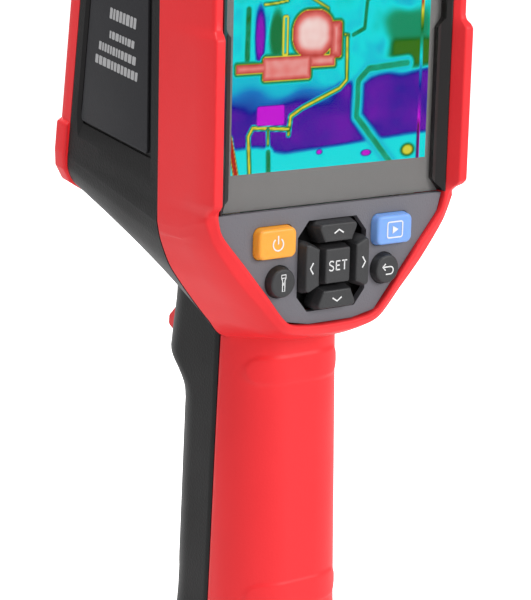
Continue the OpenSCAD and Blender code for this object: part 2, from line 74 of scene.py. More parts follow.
# ---- Sizes shared by several pieces, in millimetres ----
HEAD_TOP = 60.5
CORNER = 9.0
SIDE_X = 37.15
LOBE_LOW, LOBE_HIGH = -5.5, 31.3
BACK_RADIUS = 13.0
FRONT_RADIUS = 11.0


def smooth(edge0, edge1, value):
    """Smooth step between two values."""
    t = min(1.0, max(0.0, (value - edge0) / (edge1 - edge0)))
    return t * t * (3.0 - 2.0 * t)


def between(table, value):
    """Linear interpolation in a list of (key, number) pairs sorted by key."""
    if value <= table[0][0]:
        return table[0][1]
    for (k0, v0), (k1, v1) in zip(table, table[1:]):
        if value <= k1:
            return v0 + (v1 - v0) * (value - k0) / (k1 - k0)
    return table[-1][1]


# ---- Mesh helpers ----
def link(name, mesh):
    obj = bpy.data.objects.new(name, mesh)
    bpy.context.scene.collection.objects.link(obj)
    return obj


def build(name, verts, faces, place, closed=True, sharp=35.0):
    """A mesh from points in millimetres of a local frame, with smooth faces and sharp creases."""
    mesh = bpy.data.meshes.new(name)
    mesh.from_pydata([place @ (Vector(v) * MM) for v in verts], [], faces)
    bm = bmesh.new()
    bm.from_mesh(mesh)
    bmesh.ops.remove_doubles(bm, verts=bm.verts, dist=1e-6)
    bmesh.ops.dissolve_degenerate(bm, edges=bm.edges, dist=1e-7)
    if closed:
        bmesh.ops.recalc_face_normals(bm, faces=bm.faces)
    bm.to_mesh(mesh)
    bm.free()
    finish_shading(mesh, sharp)
    return link(name, mesh)


def finish_shading(mesh, sharp=35.0):
    mesh.polygons.foreach_set("use_smooth", [True] * len(mesh.polygons))
    mesh.set_sharp_from_angle(angle=math.radians(sharp))
    mesh.update()


def loft(name, rings, place, sharp=35.0, loop=False):
    """Skin over rings of equal length; both ends are capped unless the rings close on themselves."""
    count = len(rings[0])
    verts = [p for ring in rings for p in ring]
    faces = []
    rows = len(rings)
    for r in range(rows if loop else rows - 1):
        a, b = r * count, ((r + 1) % rows) * count
        for i in range(count):
            j = (i + 1) % count
            faces.append((a + i, a + j, b + j, b + i))
    if not loop:
        faces.append(tuple(range(count))[::-1])
        faces.append(tuple((rows - 1) * count + i for i in range(count)))
    return build(name, verts, faces, place, sharp=sharp)


def rounded(points, radii, steps=6):
    """Closed outline in the plane with each corner turned into an arc."""
    out = []
    n = len(points)
    for i, p in enumerate(points):
        r = radii[i] if isinstance(radii, (list, tuple)) else radii
        p = Vector(p)
        a = (Vector(points[i - 1]) - p)
        b = (Vector(points[(i + 1) % n]) - p)
        if r <= 0:
            out.append(tuple(p))
            continue
        half = a.angle(b) / 2.0
        cut = min(r / math.tan(half), a.length * 0.49, b.length * 0.49)
        real = cut * math.tan(half)
        start, end = p + a.normalized() * cut, p + b.normalized() * cut
        handle = 4.0 / 3.0 * math.tan((math.pi - 2.0 * half) / 4.0) * real
        h0, h1 = start - a.normalized() * handle, end - b.normalized() * handle
        for k in range(steps + 1):
            t = k / steps
            q = (start * (1 - t) ** 3 + h0 * 3 * t * (1 - t) ** 2 + h1 * 3 * t * t * (1 - t) + end * t ** 3)
            out.append(tuple(q))
    return out


def inset(points, distance):
    """Outline moved inwards; the outline must run one way round with no sharp notches."""
    area = sum(p[0] * q[1] - q[0] * p[1] for p, q in zip(points, points[1:] + points[:1]))
    turn = 1.0 if area > 0 else -1.0
    out = []
    n = len(points)
    for i, p in enumerate(points):
        a = Vector(p) - Vector(points[i - 1])
        b = Vector(points[(i + 1) % n]) - Vector(p)
        if a.length < 1e-9:
            a = b
        if b.length < 1e-9:
            b = a
        na = Vector((-a.y, a.x)).normalized() * turn
        nb = Vector((-b.y, b.x)).normalized() * turn
        m = (na + nb)
        m = m / max(0.3, m.length_squared / 2.0)
        out.append((p[0] + m.x * distance, p[1] + m.y * distance))
    return out


def upright(u, depth, v):
    return (u, depth, v)


def sideways(u, depth, v):
    return (depth, u, v)


def level(u, depth, v):
    return (u, v, depth)


def slab(name, outline, low, high, place, put=upright, edge_low=0.4, edge_high=0.4, steps=3, crown=0.0):
    """Extruded outline whose two rims are rounded, with an optional dish in the low face."""
    rows = []
    if crown:
        for f in (0.25, 0.5, 0.72, 0.88):
            cx = sum(p[0] for p in outline) / len(outline)
            cy = sum(p[1] for p in outline) / len(outline)
            base = inset(outline, edge_low)
            rows.append(([(cx + (p[0] - cx) * f, cy + (p[1] - cy) * f) for p in base],
                         low + crown * (1 - f * f)))
    for k in range(steps + 1):
        a = math.pi / 2.0 * k / steps
        rows.append((inset(outline, edge_low * (1 - math.sin(a))), low + edge_low * (1 - math.cos(a))))
    for k in range(steps + 1):
        a = math.pi / 2.0 * k / steps
        rows.append((inset(outline, edge_high * (1 - math.cos(a))), high - edge_high * (1 - math.sin(a))))
    rings = [[put(p[0], depth, p[1]) for p in pts] for pts, depth in rows]
    return loft(name, rings, place)


def bevel(obj, width, segments=2, angle=30.0):
    mod = obj.modifiers.new("round_edges", "BEVEL")
    mod.width = width * MM
    mod.segments = segments
    mod.limit_method = "ANGLE"
    mod.angle_limit = math.radians(angle)
    mod.harden_normals = False
    mod.use_clamp_overlap = True
    return obj


def baked(obj):
    """Replaces the object's mesh by the evaluated one and drops its modifiers."""
    graph = bpy.context.evaluated_depsgraph_get()
    mesh = bpy.data.meshes.new_from_object(obj.evaluated_get(graph))
    obj.modifiers.clear()
    obj.data = mesh
    return obj


def cut(obj, *cutters):
    """Takes closed cutters out of a closed piece."""
    for cutter in cutters:
        mod = obj.modifiers.new("cut", "BOOLEAN")
        mod.operation = "DIFFERENCE"
        mod.solver = "EXACT"
        mod.object = cutter
        baked(obj)
        bpy.data.objects.remove(cutter)
    finish_shading(obj.data)
    return obj


def joined(name, objects):
    """One object from several."""
    bm = bmesh.new()
    for o in objects:
        bm.from_mesh(o.data)
    mesh = bpy.data.meshes.new(name)
    bm.to_mesh(mesh)
    bm.free()
    for o in objects:
        bpy.data.objects.remove(o)
    finish_shading(mesh)
    return link(name, mesh)


def settle(obj, body, material, slot, *nodes):
    """Gives a piece its finish, its body, and the parts it stands for."""
    obj.data.materials.clear()
    obj.data.materials.append(material)
    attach(obj, body)
    if nodes:
        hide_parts(*nodes)
    if len(obj.data.polygons) == 0:
        raise RuntimeError(obj.name + " came out empty")
    return obj


# ---- Shader groups: they give values, colours and heights only ----
def socket(tree, name, kind, way, default=None):
    item = tree.interface.new_socket(name=name, in_out=way, socket_type=kind)
    if default is not None:
        item.default_value = default
    return item


def value_group(name, inputs, outputs):
    tree = bpy.data.node_groups.new(name, "ShaderNodeTree")
    for label, kind, default in inputs:
        socket(tree, label, kind, "INPUT", default)
    for label, kind in outputs:
        socket(tree, label, kind, "OUTPUT")
    return tree, tree.nodes.new("NodeGroupInput"), tree.nodes.new("NodeGroupOutput")


def make_grain_group():
    """Moulded grain: a height for the bump and a small roughness change."""
    tree, source, sink = value_group("moulded_grain", [
        ("Scale", "NodeSocketFloat", 1800.0), ("Soft", "NodeSocketFloat", 60.0)],
        [("Height", "NodeSocketFloat"), ("Rough", "NodeSocketFloat")])
    coord = tree.nodes.new("ShaderNodeTexCoord")
    fine = tree.nodes.new("ShaderNodeTexVoronoi")
    broad = tree.nodes.new("ShaderNodeTexNoise")
    broad.inputs["Detail"].default_value = 3.0
    mix = tree.nodes.new("ShaderNodeMath")
    mix.operation = "MULTIPLY_ADD"
    mix.inputs[1].default_value = 0.25
    spread = tree.nodes.new("ShaderNodeMapRange")
    spread.inputs["From Min"].default_value = 0.3
    spread.inputs["From Max"].default_value = 0.7
    spread.inputs["To Min"].default_value = -1.0
    spread.inputs["To Max"].default_value = 1.0
    tree.links.new(coord.outputs["Object"], fine.inputs["Vector"])
    tree.links.new(coord.outputs["Object"], broad.inputs["Vector"])
    tree.links.new(source.outputs["Scale"], fine.inputs["Scale"])
    tree.links.new(source.outputs["Soft"], broad.inputs["Scale"])
    tree.links.new(broad.outputs[0], mix.inputs[0])
    tree.links.new(fine.outputs["Distance"], mix.inputs[2])
    tree.links.new(broad.outputs[0], spread.inputs["Value"])
    tree.links.new(mix.outputs[0], sink.inputs["Height"])
    tree.links.new(spread.outputs[0], sink.inputs["Rough"])
    return tree


def make_dust_group():
    """Mask of thin dust that gathers on faces looking up."""
    tree, source, sink = value_group("settled_dust", [
        ("Amount", "NodeSocketFloat", 0.1)], [("Mask", "NodeSocketFloat")])
    geometry = tree.nodes.new("ShaderNodeNewGeometry")
    split = tree.nodes.new("ShaderNodeSeparateXYZ")
    up = tree.nodes.new("ShaderNodeMath")
    up.operation = "MAXIMUM"
    up.inputs[1].default_value = 0.0
    coord = tree.nodes.new("ShaderNodeTexCoord")
    specks = tree.nodes.new("ShaderNodeTexNoise")
    specks.inputs["Scale"].default_value = 240.0
    specks.inputs["Detail"].default_value = 6.0
    times = tree.nodes.new("ShaderNodeMath")
    times.operation = "MULTIPLY"
    amount = tree.nodes.new("ShaderNodeMath")
    amount.operation = "MULTIPLY"
    tree.links.new(geometry.outputs["Normal"], split.inputs[0])
    tree.links.new(split.outputs["Z"], up.inputs[0])
    tree.links.new(coord.outputs["Object"], specks.inputs["Vector"])
    tree.links.new(up.outputs[0], times.inputs[0])
    tree.links.new(specks.outputs[0], times.inputs[1])
    tree.links.new(times.outputs[0], amount.inputs[0])
    tree.links.new(source.outputs["Amount"], amount.inputs[1])
    tree.links.new(amount.outputs[0], sink.inputs["Mask"])
    return tree


GROUPS = {}
MATERIALS = {}


def material(name, colour, rough=0.45, metal=0.0, grain=0.0, scale=1800.0, vary=0.04, dust=0.0, coat=0.0,
             sheen=0.5, tint=None, subsurface=0.0):
    """A procedural finish: base colour with slow variation, grain in the bump, and a little dust."""
    mat = bpy.data.materials.new(name)
    mat.use_nodes = True
    nodes, links = mat.node_tree.nodes, mat.node_tree.links
    shader = nodes["Principled BSDF"]
    shader.inputs["Metallic"].default_value = metal
    shader.inputs["Coat Weight"].default_value = coat
    shader.inputs["Coat Roughness"].default_value = 0.12
    shader.inputs["Specular IOR Level"].default_value = sheen
    if subsurface:
        shader.inputs["Subsurface Weight"].default_value = subsurface
        shader.inputs["Subsurface Scale"].default_value = 0.002
    coord = nodes.new("ShaderNodeTexCoord")
    cloud = nodes.new("ShaderNodeTexNoise")
    cloud.inputs["Scale"].default_value = 35.0
    cloud.inputs["Detail"].default_value = 4.0
    links.new(coord.outputs["Object"], cloud.inputs["Vector"])
    blend = nodes.new("ShaderNodeMix")
    blend.data_type = "RGBA"
    dark = [c * (1.0 - vary * 2.0) for c in colour]
    blend.inputs["A"].default_value = (*dark, 1.0)
    blend.inputs["B"].default_value = (*(tint or colour), 1.0)
    links.new(cloud.outputs[0], blend.inputs["Factor"])
    dusty = nodes.new("ShaderNodeMix")
    dusty.data_type = "RGBA"
    dusty.inputs["B"].default_value = (0.62, 0.6, 0.57, 1.0)
    mask = nodes.new("ShaderNodeGroup")
    mask.node_tree = GROUPS["dust"]
    mask.inputs["Amount"].default_value = dust
    links.new(mask.outputs["Mask"], dusty.inputs["Factor"])
    links.new(blend.outputs["Result"], dusty.inputs["A"])
    links.new(dusty.outputs["Result"], shader.inputs["Base Color"])
    grained = nodes.new("ShaderNodeGroup")
    grained.node_tree = GROUPS["grain"]
    grained.inputs["Scale"].default_value = scale
    roughness = nodes.new("ShaderNodeMath")
    roughness.operation = "MULTIPLY_ADD"
    roughness.inputs[1].default_value = 0.04
    roughness.inputs[2].default_value = rough
    links.new(grained.outputs["Rough"], roughness.inputs[0])
    links.new(roughness.outputs[0], shader.inputs["Roughness"])
    bump = nodes.new("ShaderNodeBump")
    bump.inputs["Strength"].default_value = grain
    bump.inputs["Distance"].default_value = 0.00008
    links.new(grained.outputs["Height"], bump.inputs["Height"])
    links.new(bump.outputs["Normal"], shader.inputs["Normal"])
    MATERIALS[name] = mat
    return mat


def brushed(name, colour, rough, lines=900.0):
    """Metal with fine parallel lines."""
    mat = material(name, colour, rough, metal=1.0, grain=0.15, vary=0.05)
    nodes, links = mat.node_tree.nodes, mat.node_tree.links
    coord = nodes.new("ShaderNodeTexCoord")
    stretch = nodes.new("ShaderNodeMapping")
    stretch.inputs["Scale"].default_value = (lines, lines, 20.0)
    streak = nodes.new("ShaderNodeTexNoise")
    streak.inputs["Scale"].default_value = 1.0
    bump = nodes.new("ShaderNodeBump")
    bump.inputs["Strength"].default_value = 0.2
    bump.inputs["Distance"].default_value = 0.00003
    links.new(coord.outputs["Object"], stretch.inputs["Vector"])
    links.new(stretch.outputs[0], streak.inputs["Vector"])
    links.new(streak.outputs[0], bump.inputs["Height"])
    links.new(bump.outputs["Normal"], nodes["Principled BSDF"].inputs["Normal"])
    return mat


def clear(name, tint, rough=0.03, reflect=1.0):
    """Thin clear sheet: it lets light through and reflects by Fresnel."""
    mat = bpy.data.materials.new(name)
    mat.use_nodes = True
    nodes, links = mat.node_tree.nodes, mat.node_tree.links
    nodes.remove(nodes["Principled BSDF"])
    output = nodes["Material Output"]
    through = nodes.new("ShaderNodeBsdfTransparent")
    through.inputs["Color"].default_value = (*tint, 1.0)
    shine = nodes.new("ShaderNodeBsdfGlossy")
    shine.inputs["Roughness"].default_value = rough
    coord = nodes.new("ShaderNodeTexCoord")
    smear = nodes.new("ShaderNodeTexNoise")
    smear.inputs["Scale"].default_value = 60.0
    tone = nodes.new("ShaderNodeMapRange")
    tone.inputs["To Min"].default_value = rough * 0.7
    tone.inputs["To Max"].default_value = rough * 1.5
    links.new(coord.outputs["Object"], smear.inputs["Vector"])
    links.new(smear.outputs[0], tone.inputs["Value"])
    links.new(tone.outputs[0], shine.inputs["Roughness"])
    fresnel = nodes.new("ShaderNodeFresnel")
    fresnel.inputs["IOR"].default_value = 1.5
    scale = nodes.new("ShaderNodeMath")
    scale.operation = "MULTIPLY"
    scale.inputs[1].default_value = reflect
    mix = nodes.new("ShaderNodeMixShader")
    side = nodes.new("ShaderNodeNewGeometry")
    outside = nodes.new("ShaderNodeMath")
    outside.operation = "SUBTRACT"
    outside.inputs[0].default_value = 1.0
    once = nodes.new("ShaderNodeMath")
    once.operation = "MULTIPLY"
    links.new(side.outputs["Backfacing"], outside.inputs[1])
    links.new(fresnel.outputs[0], scale.inputs[0])
    links.new(scale.outputs[0], once.inputs[0])
    links.new(outside.outputs[0], once.inputs[1])
    links.new(once.outputs[0], mix.inputs[0])
    links.new(through.outputs[0], mix.inputs[1])
    links.new(shine.outputs[0], mix.inputs[2])
    links.new(mix.outputs[0], output.inputs["Surface"])
    MATERIALS[name] = mat
    return mat


def picture_material():
    """The display's picture, lit from behind; its colours are stored on the mesh."""
    mat = bpy.data.materials.new("picture")
    mat.use_nodes = True
    nodes, links = mat.node_tree.nodes, mat.node_tree.links
    shader = nodes["Principled BSDF"]
    shader.inputs["Base Color"].default_value = (0.01, 0.01, 0.01, 1.0)
    shader.inputs["Roughness"].default_value = 0.5
    shader.inputs["Specular IOR Level"].default_value = 0.0
    shader.inputs["Emission Strength"].default_value = 1.0
    stored = nodes.new("ShaderNodeAttribute")
    stored.attribute_name = "picture_colour"
    links.new(stored.outputs["Color"], shader.inputs["Emission Color"])
    MATERIALS["picture"] = mat
    return mat


def make_materials():
    GROUPS["grain"] = make_grain_group()
    GROUPS["dust"] = make_dust_group()
    material("red_shell", (0.90, 0.024, 0.030), 0.42, grain=0.2, dust=0.01, tint=(0.94, 0.028, 0.036),
             sheen=0.3)
    material("black_shell", (0.012, 0.012, 0.012), 0.42, grain=0.4, dust=0.02, tint=(0.016, 0.015, 0.016),
             sheen=0.2)
    material("front_panel", (0.02, 0.02, 0.022), 0.3, grain=0.1, dust=0.03)
    material("pad_rubber", (0.03, 0.03, 0.032), 0.6, grain=0.8, scale=2600.0, dust=0.08)
    material("gasket_rubber", (0.03, 0.03, 0.03), 0.7, grain=0.3)
    material("label_plate", (0.03, 0.03, 0.034), 0.5, grain=0.3, scale=2400.0, sheen=0.25)
    material("label_grey", (0.45, 0.45, 0.46), 0.5, grain=0.1)
    material("bezel", (0.008, 0.006, 0.006), 0.35, grain=0.1)
    material("lcd", (0.19, 0.185, 0.18), 0.55, grain=0.1)
    material("keypad", (0.155, 0.15, 0.17), 0.55, grain=0.6, scale=2400.0, dust=0.04)
    material("circuit_board", (0.02, 0.16, 0.07), 0.35, grain=0.2, coat=0.4)
    material("key_orange", (1.0, 0.40, 0.035), 0.38, grain=0.15, subsurface=0.15)
    material("key_blue", (0.20, 0.40, 0.86), 0.38, grain=0.15, subsurface=0.15)
    material("key_dark", (0.028, 0.028, 0.03), 0.5, grain=0.4, scale=2600.0)
    material("legend", (0.82, 0.82, 0.82), 0.5, grain=0.1)
    material("module_black", (0.02, 0.02, 0.02), 0.5, grain=0.3)
    material("led", (0.9, 0.8, 0.3), 0.5, grain=0.1)
    material("battery", (0.03, 0.16, 0.36), 0.35, coat=0.5, grain=0.05)
    material("flap_rubber", (0.025, 0.025, 0.026), 0.62, grain=0.6, dust=0.08)
    material("card_plastic", (0.02, 0.02, 0.02), 0.45, grain=0.2)
    material("screw_black", (0.06, 0.06, 0.065), 0.4, metal=0.8, grain=0.2)
    material("lens_barrel", (0.03, 0.03, 0.032), 0.38, metal=0.6, grain=0.3, dust=0.04)
    brushed("brass_part", (0.72, 0.52, 0.22), 0.28)
    brushed("screw_steel", (0.62, 0.62, 0.64), 0.3)
    brushed("spring_steel", (0.66, 0.66, 0.67), 0.25)
    brushed("retainer_metal", (0.2, 0.2, 0.22), 0.3)
    brushed("detector_case", (0.55, 0.56, 0.58), 0.35)
    brushed("socket_metal", (0.62, 0.62, 0.64), 0.25)
    material("infrared_glass", (0.20, 0.16, 0.27), 0.06, metal=1.0, vary=0.08, coat=0.6)
    clear("display_glass", (0.96, 0.96, 0.96), 0.04, 0.3)
    clear("camera_glass", (0.25, 0.27, 0.32), 0.02, 1.4)
    clear("lamp_glass", (0.95, 0.97, 1.0), 0.05, 1.0)
    picture_material()


# ---- Outlines of the head ----
SIDE_STATIONS = [46.0, 40.0, 36.0, 34.3, 33.2, 32.2, 31.3, 28.0, 20.0, 10.0, 2.0, -3.0, -5.5, -6.5, -7.5,
                 -8.6]
LOWER_STEPS = 8


def lobe(z):
    """1 along the proud side bumpers, falling to 0 past their ends."""
    if z > LOBE_HIGH:
        return 1.0 - smooth(LOBE_HIGH, LOBE_HIGH + 2.5, z)
    if z < LOBE_LOW:
        return smooth(LOBE_LOW - 3.1, LOBE_LOW, z)
    return 1.0


def through(points, steps):
    """Smooth curve through the control points, sampled evenly in each span."""
    out = []
    n = len(points)
    for i in range(n - 1):
        p0 = Vector(points[max(0, i - 1)])
        p1, p2 = Vector(points[i]), Vector(points[i + 1])
        p3 = Vector(points[min(n - 1, i + 2)])
        for k in range(steps):
            t = k / steps
            m1, m2 = (p2 - p0) * 0.42, (p3 - p1) * 0.42
            h = 2 * t ** 3 - 3 * t * t + 1, t ** 3 - 2 * t * t + t, 3 * t * t - 2 * t ** 3, t ** 3 - t * t
            out.append(tuple(p1 * h[0] + m1 * h[1] + p2 * h[2] + m2 * h[3]))
    out.append(tuple(points[-1]))
    return out


def head_ring(side, lower, top=HEAD_TOP, corner=CORNER, bulge=0.0, depth=None, low_depth=0.0):
    """Closed ring of the head: side half-width, seven lower control points, and the depth by height."""
    half = []
    for k in range(10):
        a = math.radians(90 - 10 * k)
        half.append((side - corner + corner * math.cos(a), top - corner + corner * math.sin(a)))
    half += [(side + bulge * lobe(z), z) for z in SIDE_STATIONS]
    cut_at = len(half)
    half += through(lower, LOWER_STEPS)
    half[-1] = (0.0, half[-1][1])
    rows = []
    for i, (x, z) in enumerate(half):
        if depth is None:
            y = low_depth
        else:
            y = depth(z) if i < cut_at else low_depth
        rows.append((x, y, z))
    return rows + [(-x, y, z) for x, y, z in rows[-2::-1]]


PANEL_LOW = [(33.5, -9.3), (32.1, -13.4), (25.5, -21.2), (19.4, -28.5), (13.3, -35.6), (7.0, -37.0),
             (0, -37.2)]
CREST_LOW = [(34.2, -9.5), (32.7, -13.8), (26.1, -21.7), (20.0, -29.0), (13.7, -36.2), (7.1, -37.6),
             (0, -37.8)]
LAND_LOW = [(36.7, -9.7), (33.9, -15.8), (27.5, -24.2), (21.0, -31.1), (14.6, -37.6), (7.5, -39.3),
            (0, -39.7)]
RIM_LOW = [(36.9, -9.9), (34.2, -16.0), (27.8, -24.5), (21.3, -31.5), (14.9, -38.0), (7.6, -39.8), (0, -40.2)]
STRIP_LOW = [(37.15, -10.5), (35.2, -16.8), (28.9, -25.6), (22.3, -32.8), (16.0, -39.3), (8.0, -41.2),
             (0, -41.6)]
SEAM_LOW = [(37.15, -12.5), (36.1, -17.1), (33.4, -23.4), (28.7, -30.0), (22.5, -37.6), (17.0, -42.6),
            (0, -43.2)]
BODY_LOW = [(36.65, -9.0), (36.3, -12.4), (34.4, -15.8), (30.6, -18.5), (25.0, -19.9), (17.0, -20.0),
            (0, -20.0)]


def rim_depth(base, rise, low):
    """Depth of a ring along the sides: base, further out on the bumpers, and the keypad rim below them."""
    def depth(z):
        if z > LOBE_HIGH:
            return base + rise * lobe(z)
        if z < LOBE_LOW:
            return low + (base + rise - low) * lobe(z)
        return base + rise
    return depth


def make_head_back():
    rings = [
        head_ring(33.5, PANEL_LOW, top=53.5, corner=2.0, low_depth=3.2),
        head_ring(33.5, PANEL_LOW, top=53.5, corner=2.0, depth=rim_depth(-1.3, -0.1, -1.1), low_depth=-1.1),
        head_ring(34.9, CREST_LOW, top=55.0, corner=3.0, bulge=0.15, depth=rim_depth(-2.75, -1.9, -1.4),
                  low_depth=-1.4),
        head_ring(36.5, LAND_LOW, top=58.0, corner=8.0, bulge=0.95, depth=rim_depth(-2.72, -1.9, -0.45),
                  low_depth=-0.45),
        head_ring(36.9, RIM_LOW, top=58.5, bulge=0.8, depth=rim_depth(-1.9, -1.5, 0.3), low_depth=0.3),
        head_ring(37.0, STRIP_LOW, top=59.5, bulge=0.7, low_depth=3.4),
        head_ring(37.1, SEAM_LOW, top=60.2, bulge=0.1, low_depth=9.5),
        head_ring(SIDE_X, SEAM_LOW, top=HEAD_TOP, low_depth=SEAM_Y - 0.1),
        head_ring(34.9, [(x * 0.93, z * 0.93) for x, z in SEAM_LOW], top=58.3, corner=7.0,
                  low_depth=SEAM_Y - 0.1),
        head_ring(34.6, [(x * 0.92, z * 0.92) for x, z in STRIP_LOW], top=57.5, corner=6.0, low_depth=4.0),
    ]
    # The strip below the rim is slanted: its lower points sit deeper than its sides
    mixed = rings[6]
    strip, seam = rings[5], rings[7]
    rings[6] = [tuple(strip[i][k] * 0.6 + seam[i][k] * 0.4 for k in range(3))
                if abs(p[0]) < 36.5 and p[2] < 0 else p
                for i, p in enumerate(mixed)]
    obj = loft("head_back", rings, HEAD, sharp=40.0, loop=True)
    bevel(obj, 0.55, 3, 22.0)
    return settle(obj, "shell", MATERIALS["red_shell"], "red_shell", "rear_shell")


# ---- Handle ----
BACK_DEPTH = [(-150.0, 21.5), (-113.0, 19.6), (-30.0, 16.7)]
FRONT_DEPTH = [(-150.0, 20.4), (-113.0, 17.0), (-63.0, 14.9), (-59.0, 15.3), (-55.5, 18.2), (-52.0, 22.0),
               (-45.0, 20.8), (-36.5, 19.2)]
SPLIT = [(-150.0, -1.3), (-112.0, -3.3), (-30.0, -7.2)]
HALF_WIDTH = [(-150.0, 18.0), (-113.0, 17.0), (-30.0, 17.0)]
BANDS = [(-50.8, 3.75), (-108.0, 3.75)]
BAND_HALF = 14.3
BAND_RISE = 0.36
PAD_HALF = 17.6
PAD_LOW, PAD_HIGH, PAD_ROUND = -112.6, -57.4, 9.0


def rounded_box(u, v, half_u, half_v, radius):
    """Signed distance to a rounded rectangle, negative inside."""
    du, dv = abs(u) - half_u + radius, abs(v) - half_v + radius
    return math.hypot(max(du, 0), max(dv, 0)) + min(max(du, dv), 0) - radius


def back_point(z, s, out=0.0):
    """Point on the handle's back, s millimetres round from the middle, moved outwards by out."""
    half, back = between(HALF_WIDTH, z), between(BACK_DEPTH, z)
    flat = half - BACK_RADIUS
    side = 1.0 if s >= 0 else -1.0
    d = abs(s)
    if d < flat:
        return (side * d, -back - out, z)
    turn = (d - flat) / BACK_RADIUS
    if turn < math.pi / 2:
        r = BACK_RADIUS + out
        return (side * (flat + r * math.sin(turn)), -back + BACK_RADIUS - r * math.cos(turn), z)
    rest = d - flat - BACK_RADIUS * math.pi / 2
    return (side * (half + out), -back + BACK_RADIUS + rest, z)


def front_at(z):
    spread = 1.6
    return sum(between(FRONT_DEPTH, z + o) for o in (-spread, -spread / 2, 0, spread / 2, spread)) / 5.0


def front_point(z, s, out=0.0):
    half, front = between(HALF_WIDTH, z), front_at(z)
    flat = half - FRONT_RADIUS
    side = 1.0 if s >= 0 else -1.0
    d = abs(s)
    if d < flat:
        return (side * d, front + out, z)
    turn = (d - flat) / FRONT_RADIUS
    if turn < math.pi / 2:
        r = FRONT_RADIUS + out
        return (side * (flat + r * math.sin(turn)), front - FRONT_RADIUS + r * math.cos(turn), z)
    rest = d - flat - FRONT_RADIUS * math.pi / 2
    return (side * (half + out), front - FRONT_RADIUS - rest, z)


def steps_between(low, high, step):
    count = max(1, round((high - low) / step))
    return [low + (high - low) * k / count for k in range(count + 1)]


def shell_half(name, heights, columns, point, end, lift, thick=2.2):
    """Half of the handle: an outer skin over a grid, an inner one, and the walls between them."""
    rings = []
    for z in heights:
        reach = end(z)
        outer = []
        for c in columns:
            s = c * reach
            outer.append(point(z, s, lift(s, z)))
        inner = [point(z, c * reach, -thick) for c in reversed(columns)]
        rings.append(outer + inner)
    return loft(name, rings, GRIP, sharp=50.0)


def back_reach(z):
    half, back = between(HALF_WIDTH, z), between(BACK_DEPTH, z)
    return half - BACK_RADIUS + BACK_RADIUS * math.pi / 2 + (between(SPLIT, z) + back - BACK_RADIUS)


def front_reach(z):
    half, front = between(HALF_WIDTH, z), front_at(z)
    return half - FRONT_RADIUS + FRONT_RADIUS * math.pi / 2 + (front - FRONT_RADIUS - between(SPLIT, z) - 0.3)


def make_handle_back():
    heights = (steps_between(-150, -113, 2.5) + steps_between(-112.6, -103, 0.4) + steps_between(-102, -57,
                                                                                                 2.5)
               + steps_between(-56, -45.4, 0.4) + steps_between(-44.5, -37, 1.5))
    columns = [c / 44.0 for c in range(-44, 45)]

    def lift(s, z):
        x = back_point(z, s)[0]
        best = 0.0
        for middle, half in BANDS:
            d = rounded_box(x, z - middle, BAND_HALF, half, half - 0.05)
            best = max(best, BAND_RISE * (1.0 - smooth(-0.9, 0.15, d)))
        edge = back_reach(z) - abs(s)
        return best - 0.35 * (1.0 - smooth(0.0, 0.8, edge))
    obj = shell_half("handle_back", heights, columns, back_point, back_reach, lift)
    return settle(obj, "shell", MATERIALS["red_shell"], "red_shell")


def make_handle_front():
    heights = steps_between(-150, -114, 2.0) + steps_between(-113, -110, 0.5) + steps_between(-109, -66,
                                                                                              1.6) \
        + steps_between(-65, -43, 0.5) + steps_between(-42, -30, 1.5)
    columns = [c / 48.0 for c in range(-48, 49)]

    def lift(s, z):
        middle, half = (PAD_LOW + PAD_HIGH) / 2, (PAD_HIGH - PAD_LOW) / 2
        d = rounded_box(s, z - middle, PAD_HALF, half, PAD_ROUND)
        edge = front_reach(z) - abs(s)
        return -1.0 * (1.0 - smooth(0.0, 0.5, d)) - 0.35 * (1.0 - smooth(0.0, 0.8, edge))
    obj = shell_half("handle_front_half", heights, columns, front_point, front_reach, lift)
    slot_low, slot_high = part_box("trigger")
    gap = 0.4
    opening = rounded([((slot_low[0] / MM) - gap, (slot_low[2] / MM) - gap - LCD_Z / MM),
                       ((slot_high[0] / MM) + gap, (slot_low[2] / MM) - gap - LCD_Z / MM),
                       ((slot_high[0] / MM) + gap, -37.8), ((slot_low[0] / MM) - gap, -37.8)], 1.6, 4)
    cutter = slab("slot_cutter", opening, 6.0, 36.0, GRIP, edge_low=0.0, edge_high=0.0, steps=1)
    cut(obj, cutter)
    neck = slab("neck_block", rounded([(-12.5, -45), (12.5, -45), (12.5, -30), (-12.5, -30)], 2.0, 4), -6.0,
                17.0, GRIP)
    obj = joined("handle_front_half", [obj, neck])
    return settle(obj, "shell", MATERIALS["black_shell"], "black_shell", "handle_front")


def make_pad():
    middle, half = (PAD_LOW + PAD_HIGH) / 2, (PAD_HIGH - PAD_LOW) / 2 - 0.25
    wide = PAD_HALF - 0.25
    rings = []
    for z in steps_between(-half, half, 0.8):
        over = max(0.0, abs(z) - (half - PAD_ROUND))
        reach = wide - PAD_ROUND + math.sqrt(max(0.3, PAD_ROUND ** 2 - over ** 2))
        near = min(1.0, (half - abs(z)) / 1.6)
        columns = [c / 30.0 for c in range(-30, 31)]
        outer = []
        for c in columns:
            edge = min(1.0, (1.0 - abs(c)) * reach / 1.4)
            lift = 0.32 * math.sqrt(max(0.0, 1 - (1 - edge) ** 2)) * math.sqrt(max(0.0, 1 - (1 - near) ** 2))
            outer.append(front_point(z + middle, c * reach, lift - 0.25))
        inner = [front_point(z + middle, c * reach, -0.95) for c in reversed(columns)]
        rings.append(outer + inner)
    obj = loft("grip_cushion", rings, GRIP, sharp=60.0)
    return settle(obj, "shell", MATERIALS["pad_rubber"], "pad_rubber", "grip_pad")


